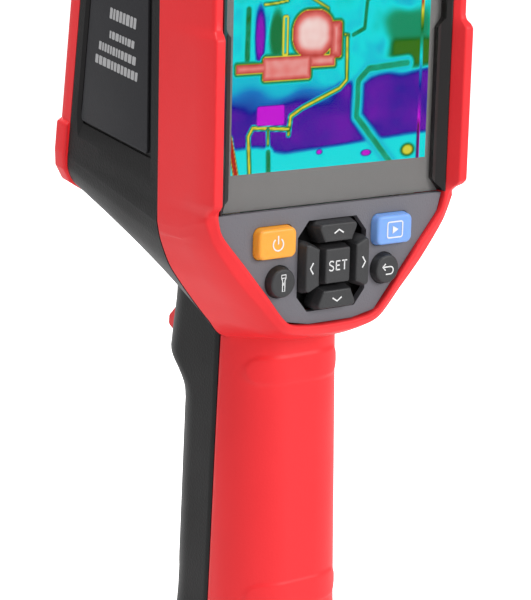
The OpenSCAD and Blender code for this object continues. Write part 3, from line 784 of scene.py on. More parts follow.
def make_trigger():
    low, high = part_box("trigger")
    rest = low[1] / MM
    outline = rounded([(rest, -38.3), (rest, -51.0), (29.8, -51.0), (32.5, -49.7), (32.3, -47.0),
                       (28.4, -43.4),
                       (22.5, -40.2), (17.0, -38.3)], [0.4, 0.4, 2.0, 1.2, 1.6, 6.0, 6.0, 3.0], 5)
    obj = slab("trigger_blade", outline, low[0] / MM, high[0] / MM, GRIP, put=sideways, edge_low=0.8,
               edge_high=0.8,
               steps=4)
    return settle(obj, "trigger", MATERIALS["red_shell"], "red_shell", "trigger")


# ---- Middle and front housings ----
def body_ring(depth, lower, side, top, corner=CORNER):
    return [LENS_TO_HEAD @ Vector(p) for p in head_ring(side, lower, top=top, corner=corner, low_depth=depth)]


LENS_TO_HEAD = (Matrix.Translation((0, SEAM_Y, 0)) @ Matrix.Rotation(PITCH, 4, "X"))
LEAN = math.tan(PITCH)


def plate_rear(z):
    """The recess's rear edge, upright beside the seam."""
    return 3.6 + z * LEAN


PLATE_BORDER = [(plate_rear(51.0), 51.0), (36.4, 51.0), (36.4, 3.8), (35.0, 0.6), (plate_rear(0.6), 0.6)]
PLATE_BORDER_WIDE = [(plate_rear(52.2) - 0.36, 52.2), (37.6, 52.2), (37.6, 2.6), (36.2, -5.4),
                     (plate_rear(-5.4) - 0.36, -5.4)]


def make_middle():
    rear = [Vector(p) for p in head_ring(SIDE_X - 0.35, SEAM_LOW, top=HEAD_TOP - 0.3,
                                         low_depth=SEAM_Y + 0.05)]
    front = body_ring(39.65, BODY_LOW, SIDE_X - 0.5, HEAD_TOP)
    rings = []
    for k in range(13):
        t = k / 12.0
        rings.append([tuple(a.lerp(b, t)) for a, b in zip(rear, front)])
    obj = loft("middle_housing", rings, HEAD, sharp=30.0)
    cutters = []
    for side in (-1, 1):
        rows = []
        for outline, x in ((PLATE_BORDER, SIDE_X - 1.75), (PLATE_BORDER, SIDE_X - 1.25),
                           (PLATE_BORDER_WIDE, SIDE_X + 0.1), (PLATE_BORDER_WIDE, SIDE_X + 2.0)):
            rows.append([(side * x, p[0], p[1]) for p in outline])
        cutters.append(loft("plate_cutter", rows, LENS))
    well = slab("well_cutter", rounded([(-13, 10.4), (13, 10.4), (13, 25), (-13, 25)], 0.8, 3),
                HEAD_TOP - 3.4,
                HEAD_TOP + 4, LENS, put=level, edge_low=0, edge_high=0, steps=1)
    cut(obj, *cutters, well)
    bevel(obj, 0.35, 2, 25.0)
    return settle(obj, "shell", MATERIALS["black_shell"], "black_shell", "mid_body")


NOSE_LOW = [(27.0, -1.5), (26.2, -4.5), (24.4, -7.5), (21.8, -9.8), (18.0, -11.0), (10.0, -11.0), (0, -11.0)]


def nose_ring(depth, shrink):
    """Ring of the sloping nose, blended from the body outline to the flat front."""
    body = head_ring(SIDE_X - 0.5, BODY_LOW, top=HEAD_TOP, low_depth=depth)
    nose = head_ring(27.0, NOSE_LOW, top=HEAD_TOP - 6.5, corner=8.0, low_depth=depth)
    return [tuple(Vector(a).lerp(Vector(b), shrink)) for a, b in zip(body, nose)]


# Raised guard round each lower corner of the front: its outer and inner edges, from the side to the bottom
GUARD_OUTER = [(37.6, -1.2), (37.6, -8.6), (37.1, -12.6), (34.9, -16.2), (30.8, -18.7), (25.0, -19.9)]
GUARD_INNER = [(35.0, 0.6), (35.0, -8.6), (34.6, -11.6), (33.0, -14.4), (29.6, -16.8), (25.0, -18.0)]


def make_front():
    rings = [nose_ring(39.85, 0.0), nose_ring(42.0, 0.0), nose_ring(43.6, 0.01), nose_ring(44.8, 0.06),
             nose_ring(47.0, 0.25), nose_ring(49.6, 0.50), nose_ring(52.2, 0.80), nose_ring(53.4, 0.95),
             nose_ring(54.0, 1.04), nose_ring(54.0, 1.24), nose_ring(51.8, 1.25), nose_ring(51.8, 1.10),
             nose_ring(42.0, 0.18), nose_ring(39.85, 0.12)]
    obj = loft("front_housing", rings, LENS, sharp=35.0, loop=True)
    guards = []
    for side in (-1, 1):
        outline = rounded([(side * x, z) for x, z in GUARD_OUTER + GUARD_INNER[::-1]], 0.8, 3)
        guards.append(slab("guard", outline, 40.2, 45.2, LENS, edge_low=0.7, edge_high=1.1, steps=4))
    obj = joined("front_housing", [obj] + guards)
    return settle(obj, "shell", MATERIALS["red_shell"], "red_shell", "front_shell")


# Rows of blank bars on a side label: height, row height, and the row's start and end along the lens axis
LABEL_BARS = [(28.6, 2.6, 15.5, 27.0), (24.0, 1.8, 15.5, 27.4), (20.3, 2.0, 14.3, 30.5),
              (16.8, 2.1, 13.0, 32.0)]


def make_label(side):
    """Dark plate in the side recess, with blank grey bars in place of print."""
    outline = rounded([(plate_rear(50.2) + 2.4, 50.2), (35.8, 50.2), (35.8, 1.3),
                       (plate_rear(1.3) + 2.4, 1.3)],
                      [1.2, 1.2, 1.0, 0.8], 4)
    low, high = sorted((side * (SIDE_X - 1.7), side * (SIDE_X - 1.0)))
    tag = "left" if side < 0 else "right"
    obj = slab("side_label_" + tag, outline, low, high, LENS, put=sideways, edge_low=0.15, edge_high=0.15,
               steps=2)
    settle(obj, "shell", MATERIALS["label_plate"], "label_plate", "side_plate_" + tag)
    face = side * (SIDE_X - 0.99)
    rng = random.Random(11)

    parts = []
    for z, tall, y0, y1 in LABEL_BARS:
        y = y0
        while y < y1 - 0.8:
            wide = rng.uniform(0.7, 1.5)
            outline = rounded([(y, z), (min(y + wide, y1), z), (min(y + wide, y1), z + tall),
                               (y, z + tall)], 0.2, 2)
            a, b = sorted((face - side * 0.03, face + side * 0.03))
            parts.append(slab("bar", outline, a, b, LENS, put=sideways, edge_low=0, edge_high=0, steps=1))
            y += wide + 0.35
    bars = joined("label_lines_" + tag, parts)
    settle(bars, "shell", MATERIALS["label_grey"], "label_plate")


# ---- Display picture ----
HEAT = [(0.0, (0.10, 0.0, 0.10)), (0.06, (0.62, 0.0, 0.72)), (0.16, (0.16, 0.0, 0.42)),
        (0.28, (0.0, 0.0, 0.30)),
        (0.40, (0.0, 0.18, 0.55)), (0.50, (0.0, 0.74, 0.76)), (0.60, (0.0, 0.36, 0.20)),
        (0.70, (0.0, 0.13, 0.0)),
        (0.77, (0.22, 0.34, 0.0)), (0.83, (0.78, 0.72, 0.05)), (0.89, (0.42, 0.01, 0.0)),
        (0.94, (0.80, 0.18, 0.16)),
        (1.0, (0.95, 0.74, 0.70))]
PIPES = [
    (0.80, 0.34, [(14.8, 42), (15.0, 38.9), (11.8, 38.4), (8.6, 38.2)]),
    (0.80, 0.34, [(17.8, 41.4), (26.7, 36.8), (26.9, 31.5)]),
    (0.80, 0.36, [(28.3, 31.1), (34.3, 30.2)]),
    (0.82, 0.42, [(32.5, 29.9), (32.7, 20.0), (30.7, 18.2), (19.8, 14.2), (16.6, 12.5), (16.1, 8.3)]),
    (0.84, 0.40, [(16.0, 9.6), (5.9, 10.5), (4.7, 8.6), (5.3, -1)]),
    (0.76, 0.34, [(10.2, 9.7), (10.4, 4.2)]),
    (0.66, 0.9, [(10.4, 4.6), (10.6, -1)]),
    (0.62, 1.15, [(51.0, 23.1), (39.2, 22.3), (36.2, 19.6), (36.0, 11.2), (47.2, -1)]),
    (0.66, 0.7, [(34.3, 30.4), (37.6, 31.8), (38.2, 38.4), (40.5, 39.4)]),
    (0.66, 1.0, [(4.2, 37.2), (4.0, 26.2)]),
]


def far_from(points, u, v):
    """Distance from a point to a polyline."""
    best = 1e9
    for (ax, ay), (bx, by) in zip(points, points[1:]):
        dx, dy = bx - ax, by - ay
        t = min(1.0, max(0.0, ((u - ax) * dx + (v - ay) * dy) / (dx * dx + dy * dy)))
        best = min(best, math.hypot(u - ax - dx * t, v - ay - dy * t))
    return best


def lay(value, over, weight):
    return value + (over - value) * weight


def heat_at(u, v):
    """Temperature of the scene the camera is looking at, from 0 cold to 1 hot: a warm machine and its pipes."""
    wave = noise.noise(Vector((u * 0.11, v * 0.16, 3.0)))
    fine = noise.noise(Vector((u * 0.5, v * 0.5, 9.0)))
    edge = 21.5 + 2.2 * noise.noise(Vector((u * 0.14, 0.0, 5.0))) - 3.0 * smooth(22, 30,
                                                                                 u) * (1 - smooth(33, 40, u))
    upper = 0.49 + 0.07 * wave + 0.02 * fine
    lower = 0.22 + 0.09 * wave + 0.02 * fine
    lower = lay(lower, 0.46, smooth(13.5, 20.0, v + 2.0 * wave) * (1 - smooth(26, 34, u)))
    heat = lay(lower, upper, smooth(edge - 1.2, edge + 1.2, v))
    heat = lay(heat, 0.50, 1 - smooth(0.0, 1.6, v - 2.4 - u * 0.055 - 2.6 * (1 - smooth(6, 16, u))))
    heat = lay(heat, 0.14, 1 - smooth(0.8, 1.9, math.hypot((u - 7.5) / 1.0, (v - 31) / 4.6)))
    heat = lay(heat, 0.68, 1 - smooth(0.7, 1.35, math.hypot((u - 12.2) / 2.1, (v - 31.2) / 5.6)))
    heat = lay(heat, 0.64,
               smooth(-2.5, 1.5, -rounded_box(u - 51.5, v - 29.0, 7.5, 7.5, 5.0) - 1.0 + 1.5 * wave))
    heat = lay(heat, 0.71, smooth(-1.0, 1.0, -rounded_box(u - 52.5, v - 25.6, 6.5, 3.4, 1.5)))
    for level_, half, line in PIPES:
        d = far_from(line, u, v)
        heat = lay(heat, level_ - 0.16, 1 - smooth(half, half * 2.2, d))
        heat = lay(heat, level_ + 0.05 * fine, 1 - smooth(half * 0.4, half, d))
    body = min(rounded_box(u - 22.6, v - 31.2, 6.2, 5.6, 5.0), rounded_box(u - 29.2, v - 29.6, 1.9, 4.4, 0.9))
    barrel = min(rounded_box(u - 15.2, v - 23.6, 7.0, 2.9, 0.8),
                 rounded_box(u - 5.2, v - 23.9, 4.4, 1.2, 0.4),
                 rounded_box(u - 25.4, v - 24.8, 3.8, 1.5, 0.4))
    heat = lay(heat, 0.66, 1 - smooth(0.1, 0.9, min(body, barrel)))
    heat = lay(heat, 0.90 + 0.09 * smooth(0.0, 3.2, -body) + 0.01 * fine, 1 - smooth(-0.35, 0.1, body))
    heat = lay(heat, 0.90 + 0.05 * smooth(0.0, 1.4, -barrel) + 0.01 * fine, 1 - smooth(-0.3, 0.1, barrel))
    heat = lay(heat, 0.83,
               1 - smooth(0.15, 0.5, abs(rounded_box(u - 14.6, v - 31.0, 0.6, 4.4, 0.4))) if v < 36 else 0)
    heat = lay(heat, 0.055, 1 - smooth(-0.2, 0.3, rounded_box(u - 10.9, v - 13.0, 3.8, 2.2, 0.5)))
    heat = lay(heat, 0.07, 1 - smooth(0.4, 1.0, math.hypot((u - 25.2) / 1.2, (v - 3.6) / 0.8)))
    heat = lay(heat, 0.05, 1 - smooth(0.5, 1.1, math.hypot((u - 39.2) / 1.8, (v - 2.4) / 0.9)))
    heat = lay(heat, 0.82, 1 - smooth(0.5, 1.3, math.hypot((u - 52.0) / 2.2, (v - 2.2) / 1.6)))
    heat = lay(heat, 0.89, 1 - smooth(0.5, 1.0, far_from([(-0.4, 8.5), (1.6, -1.0)], u, v)))
    if abs(u - 55.2) < 0.55:
        heat = lay(heat, min(1.0, max(0.0, (v - 8.0) / 33.0)), 1 - smooth(0.35, 0.55, abs(u - 55.2)))
    return min(1.0, max(0.0, heat))


def heat_colour(value):
    for (k0, c0), (k1, c1) in zip(HEAT, HEAT[1:]):
        if value <= k1:
            t = (value - k0) / (k1 - k0)
            return [a + (b - a) * t for a, b in zip(c0, c1)]
    return HEAT[-1][1]


# The picture's size, and how far the picture and the border lie in front of the display, in millimetres
PICTURE_WIDE = 57.6
PICTURE_TALL = 43.2
PICTURE_GAP = 0.12
BORDER_GAP = 0.1
BORDER_THICK = 0.06
BORDER_HALF = 33.0
BORDER_LOW = -8.5
BORDER_HIGH = 51.5


def make_picture(columns, rows):
    """Fine sheet behind the glass that carries the display's colours point by point."""
    wide, tall = PICTURE_WIDE, PICTURE_TALL
    depth = (LCD[0][1] - GLASS_Y) / MM - PICTURE_GAP
    verts, faces, colours = [], [], []
    for j in range(rows + 1):
        for i in range(columns + 1):
            u, v = wide * i / columns, tall * j / rows
            verts.append((u - wide / 2, depth, v))
            colours.append(heat_colour(heat_at(u, v)))
    for j in range(rows):
        for i in range(columns):
            a = j * (columns + 1) + i
            faces.append((a, a + 1, a + columns + 2, a + columns + 1))
    mesh = bpy.data.meshes.new("picture_sheet")
    mesh.from_pydata([HEAD @ (Vector(v) * MM) for v in verts], [], faces)
    layer = mesh.color_attributes.new("picture_colour", "FLOAT_COLOR", "POINT")
    layer.data.foreach_set("color", [c for rgb in colours for c in (*rgb, 1.0)])
    obj = link("picture_sheet", mesh)
    return settle(obj, "shell", MATERIALS["picture"], "lcd")


def make_display_border():
    """Grey sheet behind the picture that fills the glass out to its edges."""
    outline = [(BORDER_HALF, BORDER_HIGH), (BORDER_HALF, BORDER_LOW), (-BORDER_HALF, BORDER_LOW),
               (-BORDER_HALF, BORDER_HIGH)]
    low = (LCD[0][1] - GLASS_Y) / MM - BORDER_GAP
    sheet = slab("display_border", outline, low, low + BORDER_THICK, HEAD, edge_low=0.0, edge_high=0.0,
                 steps=1)
    return settle(sheet, "shell", MATERIALS["lcd"], "lcd")


# ---- Keys ----
def centre_of(node):
    """Middle of a CAD node across and up, in millimetres of the head's frame."""
    low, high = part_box(node)
    return ((low[0] + high[0]) / 2 / MM, ((low[2] + high[2]) / 2 - LCD_Z) / MM)


def front_of(node):
    """How far a CAD key stands out of the glass plane, in millimetres."""
    return (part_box(node)[0][1] - GLASS_Y) / MM


def round_outline(radius, count=40):
    return [(radius * math.cos(2 * math.pi * k / count), radius * math.sin(2 * math.pi * k / count))
            for k in range(count)]


def key_mesh(name, outline, tip, slope, dish, soft=0.35):
    """A key: skirt in the plate, sloped flanks, a rounded rim and a slightly dished top."""
    rows = []
    for f in (0.3, 0.6, 0.85):
        top = inset(outline, slope + soft)
        cx = sum(p[0] for p in top) / len(top)
        cy = sum(p[1] for p in top) / len(top)
        rows.append(([(cx + (p[0] - cx) * f, cy + (p[1] - cy) * f) for p in top], tip + dish * (1 - f * f)))
    for k in range(5):
        a = math.pi / 2.0 * k / 4
        rows.append((inset(outline, slope + soft * (1 - math.sin(a))), tip + soft * (1 - math.cos(a))))
    rows.append((inset(outline, 0.12), -0.35))
    rows.append((outline, -0.05))
    rows.append((outline, 2.5))
    return loft(name, [[(p[0], depth, p[1]) for p in pts] for pts, depth in rows], HEAD, sharp=38.0)


def ribbon(points, width, closed=False):
    """Flat stroke along a line: quads with square ends, as (points, faces)."""
    verts, faces = [], []
    n = len(points)
    for i, p in enumerate(points):
        a = Vector(points[i - 1]) if i > 0 or closed else Vector(p)
        b = Vector(points[(i + 1) % n]) if i < n - 1 or closed else Vector(p)
        d = (b - a)
        d = d.normalized() if d.length > 1e-9 else Vector((1, 0))
        side = Vector((-d.y, d.x)) * width / 2
        verts += [(p[0] + side.x, p[1] + side.y), (p[0] - side.x, p[1] - side.y)]
    for i in range(n if closed else n - 1):
        j = (i + 1) % n
        faces.append((2 * i, 2 * i + 1, 2 * j + 1, 2 * j))
    return verts, faces


def arc_line(cx, cy, radius, a0, a1, count=20):
    return [(cx + radius * math.cos(math.radians(a0 + (a1 - a0) * k / count)),
             cy + radius * math.sin(math.radians(a0 + (a1 - a0) * k / count))) for k in range(count + 1)]


def legend(name, key, strokes, fills=(), mat="legend", depth=None):
    """Printed mark on a key's top: strokes and filled shapes, thin but solid."""
    cx, cy = centre_of(key)
    tip = (front_of(key) if depth is None else depth)
    parts = []
    for line, width, closed in strokes:
        flat, quads = ribbon(line, width, closed)
        verts = [(cx + x, tip - 0.012, cy + y) for x, y in flat] + [(cx + x, tip + 0.06, cy + y) for x,
                                                                    y in flat]
        n = len(flat)
        faces = list(quads) + [tuple(n + i for i in reversed(q)) for q in quads]
        edges = {}
        for q in quads:
            for a, b in zip(q, q[1:] + q[:1]):
                edges[(a, b)] = 1
        for a, b in edges:
            if (b, a) not in edges:
                faces.append((b, a, n + a, n + b))
        parts.append(build("stroke", verts, faces, HEAD))
    for shape in fills:
        moved = [(cx + x, cy + y) for x, y in shape]
        parts.append(slab("fill", moved, tip - 0.012, tip + 0.06, HEAD, edge_low=0, edge_high=0, steps=1))
    obj = joined(name, parts)
    for poly in obj.data.polygons:
        poly.use_smooth = False
    return settle(obj, key, MATERIALS[mat], frame_slot(key))


def frame_slot(node):
    return next(s["material_slot"] for s in frame["record"]["subparts"] if s["node"] == node)


def make_block_keys():
    for key, mat in (("key_power", "key_orange"), ("key_gallery", "key_blue")):
        cx, cy = centre_of(key)
        outline = rounded([(cx - 5.65, cy - 3.8), (cx + 5.65, cy - 3.8), (cx + 5.65, cy + 3.8),
                           (cx - 5.65, cy + 3.8)],
                          1.9, 8)
        obj = key_mesh(key + "_cap", outline, front_of(key), 0.25, 0.12, 0.75)
        settle(obj, key, MATERIALS[mat], frame_slot(key), key)


def make_round_keys():
    for key in ("key_torch", "key_back"):
        cx, cy = centre_of(key)
        outline = [(cx + x, cy + y) for x, y in round_outline(3.8)]
        obj = key_mesh(key + "_cap", outline, front_of(key), 0.3, 0.12, 0.6)
        settle(obj, key, MATERIALS["key_dark"], frame_slot(key), key)


PAD_SHAPES = {
    "key_up": ([(-6.9, 10.7), (6.9, 10.7), (4.35, 5.25), (-4.35, 5.25)], [1.5, 1.5, 0.5, 0.5]),
    "key_down": ([(-6.9, -10.7), (6.9, -10.7), (4.35, -5.25), (-4.35, -5.25)], [1.5, 1.5, 0.5, 0.5]),
    "key_right": ([(10.0, 7.1), (10.0, -7.1), (4.9, -4.7), (4.9, 4.7)], [1.5, 1.5, 0.5, 0.5]),
    "key_left": ([(-10.0, 7.1), (-10.0, -7.1), (-4.9, -4.7), (-4.9, 4.7)], [1.5, 1.5, 0.5, 0.5]),
    "key_set": ([(-4.2, 4.75), (4.2, 4.75), (4.2, -4.75), (-4.2, -4.75)], [1.1] * 4),
}
PAD_CENTRE = -23.0


def make_pad_keys():
    for key, (points, radii) in PAD_SHAPES.items():
        outline = [(x, y + PAD_CENTRE) for x, y in rounded(points, radii, 6)]
        obj = key_mesh(key + "_cap", outline, front_of(key), 0.55, 0.1, 0.45)
        settle(obj, key, MATERIALS["key_dark"], frame_slot(key), key)


def letter_strokes():
    """The generic word on the middle key, drawn as strokes."""
    s = [(0.62, 0.82), (0.3, 1.12), (-0.3, 1.12), (-0.62, 0.8), (-0.55, 0.35), (0.5, -0.25), (0.62, -0.7),
         (0.3, -1.1),
         (-0.3, -1.1), (-0.65, -0.8)]
    e = [[(-0.55, 1.1), (-0.55, -1.1)], [(-0.55, 1.05), (0.6, 1.05)], [(-0.55, 0.02), (0.45, 0.02)],
         [(-0.55, -1.05), (0.6, -1.05)]]
    t = [[(-0.75, 1.05), (0.75, 1.05)], [(0.0, 1.1), (0.0, -1.15)]]
    out = [([(x - 1.95, y) for x, y in s], 0.3, False)]
    out += [([(x, y) for x, y in line], 0.3, False) for line in e]
    out += [([(x + 1.9, y) for x, y in line], 0.3, False) for line in t]
    return out


def make_legends():
    legend("mark_power", "key_power", [(arc_line(0, -0.15, 1.45, 125, 415, 28), 0.34, False),
                                       ([(0, 1.9), (0, -0.1)], 0.34, False)])
    frame_line = rounded([(-2.3, -1.9), (2.3, -1.9), (2.3, 1.9), (-2.3, 1.9)], 0.5, 4)
    legend("mark_gallery", "key_gallery", [(frame_line, 0.34, True)],
           [[(-0.75, -0.95), (1.05, 0), (-0.75, 0.95)]])
    torch = [(-0.62, 2.0), (0.62, 2.0), (0.62, 1.2), (0.34, 0.7), (0.34, -1.9), (-0.34, -1.9), (-0.34, 0.7),
             (-0.62, 1.2)]
    legend("mark_torch", "key_torch", [(torch, 0.22, True), ([(-0.6, 1.25), (0.6, 1.25)], 0.2, False),
                                       ([(0, 0.2), (0, -0.5)], 0.22, False)])
    turn = [(-1.5, 0.55), (0.7, 0.55)] + arc_line(0.75, -0.35, 0.9, 90, -90, 12) + [(-0.6, -1.25)]
    legend("mark_back", "key_back",
           [(turn, 0.3, False), ([(-0.7, 1.35), (-1.6, 0.55), (-0.7, -0.25)], 0.3, False)])
    chevron = [(-1.35, -0.35), (0.0, 0.5), (1.35, -0.35)]
    spin = {"up": 0.0, "left": 90.0, "down": 180.0, "right": 270.0}
    shift = {"up": (0, 0.1), "down": (0, -0.1), "left": (0.1, 0), "right": (-0.1, 0)}
    for way, degrees in spin.items():
        a = math.radians(degrees)
        line = [(x * math.cos(a) - y * math.sin(a) + shift[way][0],
                 x * math.sin(a) + y * math.cos(a) + shift[way][1])
                for x, y in chevron]
        legend("mark_" + way, "key_" + way, [(line, 0.34, False)])
    legend("mark_set", "key_set", letter_strokes())


# ---- Lens barrel with a ribbed ring, by Geometry Nodes ----
def ribs_tree(material_):
    """Ribs set evenly round the barrel: count, radius, length and width are inputs."""
    tree = bpy.data.node_groups.new("barrel_ribs", "GeometryNodeTree")
    tree.interface.new_socket(name="Geometry", in_out="INPUT", socket_type="NodeSocketGeometry")
    for label, kind in (("Count", "NodeSocketInt"), ("Radius", "NodeSocketFloat"),
                        ("Length", "NodeSocketFloat"),
                        ("Width", "NodeSocketFloat")):
        tree.interface.new_socket(name=label, in_out="INPUT", socket_type=kind)
    tree.interface.new_socket(name="Geometry", in_out="OUTPUT", socket_type="NodeSocketGeometry")
    nodes, links = tree.nodes, tree.links
    source, sink = nodes.new("NodeGroupInput"), nodes.new("NodeGroupOutput")
    circle = nodes.new("GeometryNodeMeshCircle")
    links.new(source.outputs["Count"], circle.inputs["Vertices"])
    links.new(source.outputs["Radius"], circle.inputs["Radius"])
    rib = nodes.new("GeometryNodeMeshCylinder")
    rib.inputs["Vertices"].default_value = 12
    rib.inputs["Side Segments"].default_value = 4
    links.new(source.outputs["Width"], rib.inputs["Radius"])
    links.new(source.outputs["Length"], rib.inputs["Depth"])
    place = nodes.new("GeometryNodeInstanceOnPoints")
    links.new(circle.outputs["Mesh"], place.inputs["Points"])
    links.new(rib.outputs["Mesh"], place.inputs["Instance"])
    real = nodes.new("GeometryNodeRealizeInstances")
    links.new(place.outputs["Instances"], real.inputs["Geometry"])
    finish = nodes.new("GeometryNodeSetMaterial")
    finish.inputs["Material"].default_value = material_
    links.new(real.outputs["Geometry"], finish.inputs["Geometry"])
    links.new(finish.outputs["Geometry"], sink.inputs["Geometry"])
    return tree


def grown(name, tree, values):
    """Evaluates a node tree on an empty mesh and returns the plain mesh object."""
    obj = link(name, bpy.data.meshes.new(name))
    mod = obj.modifiers.new("grow", "NODES")
    mod.node_group = tree
    sockets = {i.name: i.identifier for i in tree.interface.items_tree if i.in_out == "INPUT"}
    for key, value in values.items():
        mod[sockets[key]] = value
    baked(obj)
    if len(obj.data.polygons) == 0:
        raise RuntimeError("the node tree made nothing for " + name)
    return obj


BARREL_TIP = 68.4
LENS_Z = 33.0


def turned(name, profile, place, centre, count=96):
    """Ring turned about a line along y: profile points are (radius, depth), in a closed loop."""
    rings = []
    for r, y in profile:
        rings.append([(centre[0] + r * math.cos(2 * math.pi * k / count), y,
                       centre[1] + r * math.sin(2 * math.pi * k / count)) for k in range(count)])
    return loft(name, rings, place, sharp=32.0, loop=True)


def make_barrel():
    tip = BARREL_TIP
    profile = [(10.0, 44.2), (18.4, 44.2), (18.4, 46.0), (16.2, 46.2), (16.2, 56.0), (16.5, 56.4),
               (16.5, 57.0),
               (16.1, 57.3), (16.1, 64.6), (16.5, 64.9), (16.9, 65.4), (16.9, 66.2), (16.4, 67.0),
               (15.6, 67.8),
               (14.9, tip - 0.1), (13.9, tip - 0.1), (13.2, tip - 0.5), (13.1, tip - 1.2), (13.05, tip - 4.0),
               (11.05, tip - 4.0), (11.05, tip - 8.0), (10.0, tip - 8.0)]
    obj = turned("lens_tube", profile, LENS, (0.0, LENS_Z))
    settle(obj, "shell", MATERIALS["lens_barrel"], "lens_barrel", "lens_barrel")
    tree = ribs_tree(MATERIALS["lens_barrel"])
    ribs = grown("lens_ribs", tree,
                 {"Count": 54, "Radius": 16.25 * MM, "Length": 7.0 * MM, "Width": 0.62 * MM})
    ribs.data.transform(LENS @ Matrix.Translation((0, 60.9 * MM,
                                                   LENS_Z * MM)) @ Matrix.Rotation(math.pi / 2, 4, "X"))
    finish_shading(ribs.data)
    settle(ribs, "shell", MATERIALS["lens_barrel"], "lens_barrel")


def make_front_eyes():
    """Bezel rings round the camera eye and the lamp."""
    for node, mat, slot in (("camera_window", "front_panel", "front_panel"), ("lamp_lens", "retainer_metal",
                                                                          "retainer_metal")):
        low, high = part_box(node)
        x = (low[0] + high[0]) / 2 / MM
        eye = turned(node + "_ring",
                     [(4.6, 52.35), (5.9, 52.35), (6.0, 53.4), (5.6, 53.85), (5.0, 53.85), (4.6, 53.3)],
                     LENS, (x, 8.0), 64)
        settle(eye, "shell", MATERIALS[mat], slot)


# ---- CAD pieces that stay, with rounded edges and better finishes ----
KEPT = {
    "base_cap": ("black_shell", 0.6), "bezel_frame": ("bezel", 0.15), "keypad_plate": ("keypad", 0.22),
    "shell_gasket": ("gasket_rubber", 0), "display_window": ("display_glass", 0), "lcd_module": ("lcd", 0),
    "key_mat": ("gasket_rubber", 0), "key_board": ("circuit_board", 0), "main_board": ("circuit_board", 0),
    "board_standoffs": ("brass_part", 0), "board_screws": ("screw_steel", 0),
    "shell_screws": ("screw_steel", 0),
    "front_panel": ("front_panel", 0.15), "lens_retainer": ("retainer_metal", 0.12),
    "infrared_lens": ("infrared_glass", 0), "detector_module": ("detector_case", 0.2),
    "shutter_motor": ("module_black", 0), "shutter_flag": ("module_black", 0),
    "camera_module": ("module_black", 0.2),
    "camera_window": ("camera_glass", 0), "lamp_led": ("led", 0), "lamp_lens": ("lamp_glass", 0),
    "trigger_spring": ("spring_steel", 0), "trigger_switch": ("module_black", 0.2),
    "battery_cell": ("battery", 0),
    "battery_cradle": ("module_black", 0), "base_screws": ("screw_black", 0.1),
    "tripod_insert": ("brass_part", 0.15),
    "port_flap": ("flap_rubber", 0.3), "flap_pin": ("spring_steel", 0), "usb_socket": ("socket_metal", 0.05),
    "card_socket": ("socket_metal", 0.05), "memory_card": ("card_plastic", 0.05),
    "buzzer": ("module_black", 0.2),
}


def dress_kept():
    for node, (mat, width) in KEPT.items():
        obj = frame["nodes"][node]
        for slot_ in obj.material_slots:
            slot_.material = MATERIALS[mat]
        if not obj.material_slots:
            raise RuntimeError(node + " has no material slot")
        if width:
            bevel(obj, width, 3, 40.0)


# ---- Stage ----
FOCAL_PIXELS = 2076.0
PICTURE_HEIGHT = 600.0
SENSOR = 36.0
CAMERA_AT = (-0.2980, -0.4033, 0.2479)
AZIMUTH = math.radians(36.61)
ELEVATION = math.radians(13.03)
ROLL = math.radians(1.34)


FLOOR_GLOW = 0.8

# Each soft light: its name, where it stands, what it faces, its size, and its share of the main light's power
LIGHTS = (
    ("key_light", (0.45, -0.85, 0.55), (0, 0, 0.14), 0.5, 1.0),
    ("top_light", (-0.25, -0.1, 1.1), (0, 0, 0.17), 0.5, 0.9),
    ("rim_light", (0.2, 0.9, 0.5), (0, 0, 0.15), 0.6, 0.5),
)


def area_light(name, at, target, size, power, colour=(1, 1, 1)):
    data = bpy.data.lights.new(name, "AREA")
    data.shape = "DISK"
    data.size = size
    data.energy = power
    data.color = colour
    obj = bpy.data.objects.new(name, data)
    bpy.context.scene.collection.objects.link(obj)
    obj.location = at
    obj.rotation_euler = (Vector(target) - Vector(at)).to_track_quat("-Z", "Y").to_euler()
    return obj


def make_camera():
    p, e, r = AZIMUTH, ELEVATION, ROLL
    right = Vector((math.cos(p), -math.sin(p), 0.0))
    up = Vector((math.sin(e) * math.sin(p), math.sin(e) * math.cos(p), math.cos(e)))
    back = Vector((-math.sin(p) * math.cos(e), -math.cos(p) * math.cos(e), math.sin(e)))
    x = right * math.cos(r) + up * math.sin(r)
    y = up * math.cos(r) - right * math.sin(r)
    data = bpy.data.cameras.new("camera")
    data.sensor_fit = "AUTO"
    data.sensor_width = SENSOR
    data.lens = FOCAL_PIXELS / PICTURE_HEIGHT * SENSOR
    data.clip_start = 0.01
    cam = bpy.data.objects.new("camera", data)
    bpy.context.scene.collection.objects.link(cam)
    turn = Matrix((x, y, back)).transposed().to_4x4()
    cam.matrix_world = Matrix.Translation(CAMERA_AT) @ turn
    bpy.context.scene.camera = cam


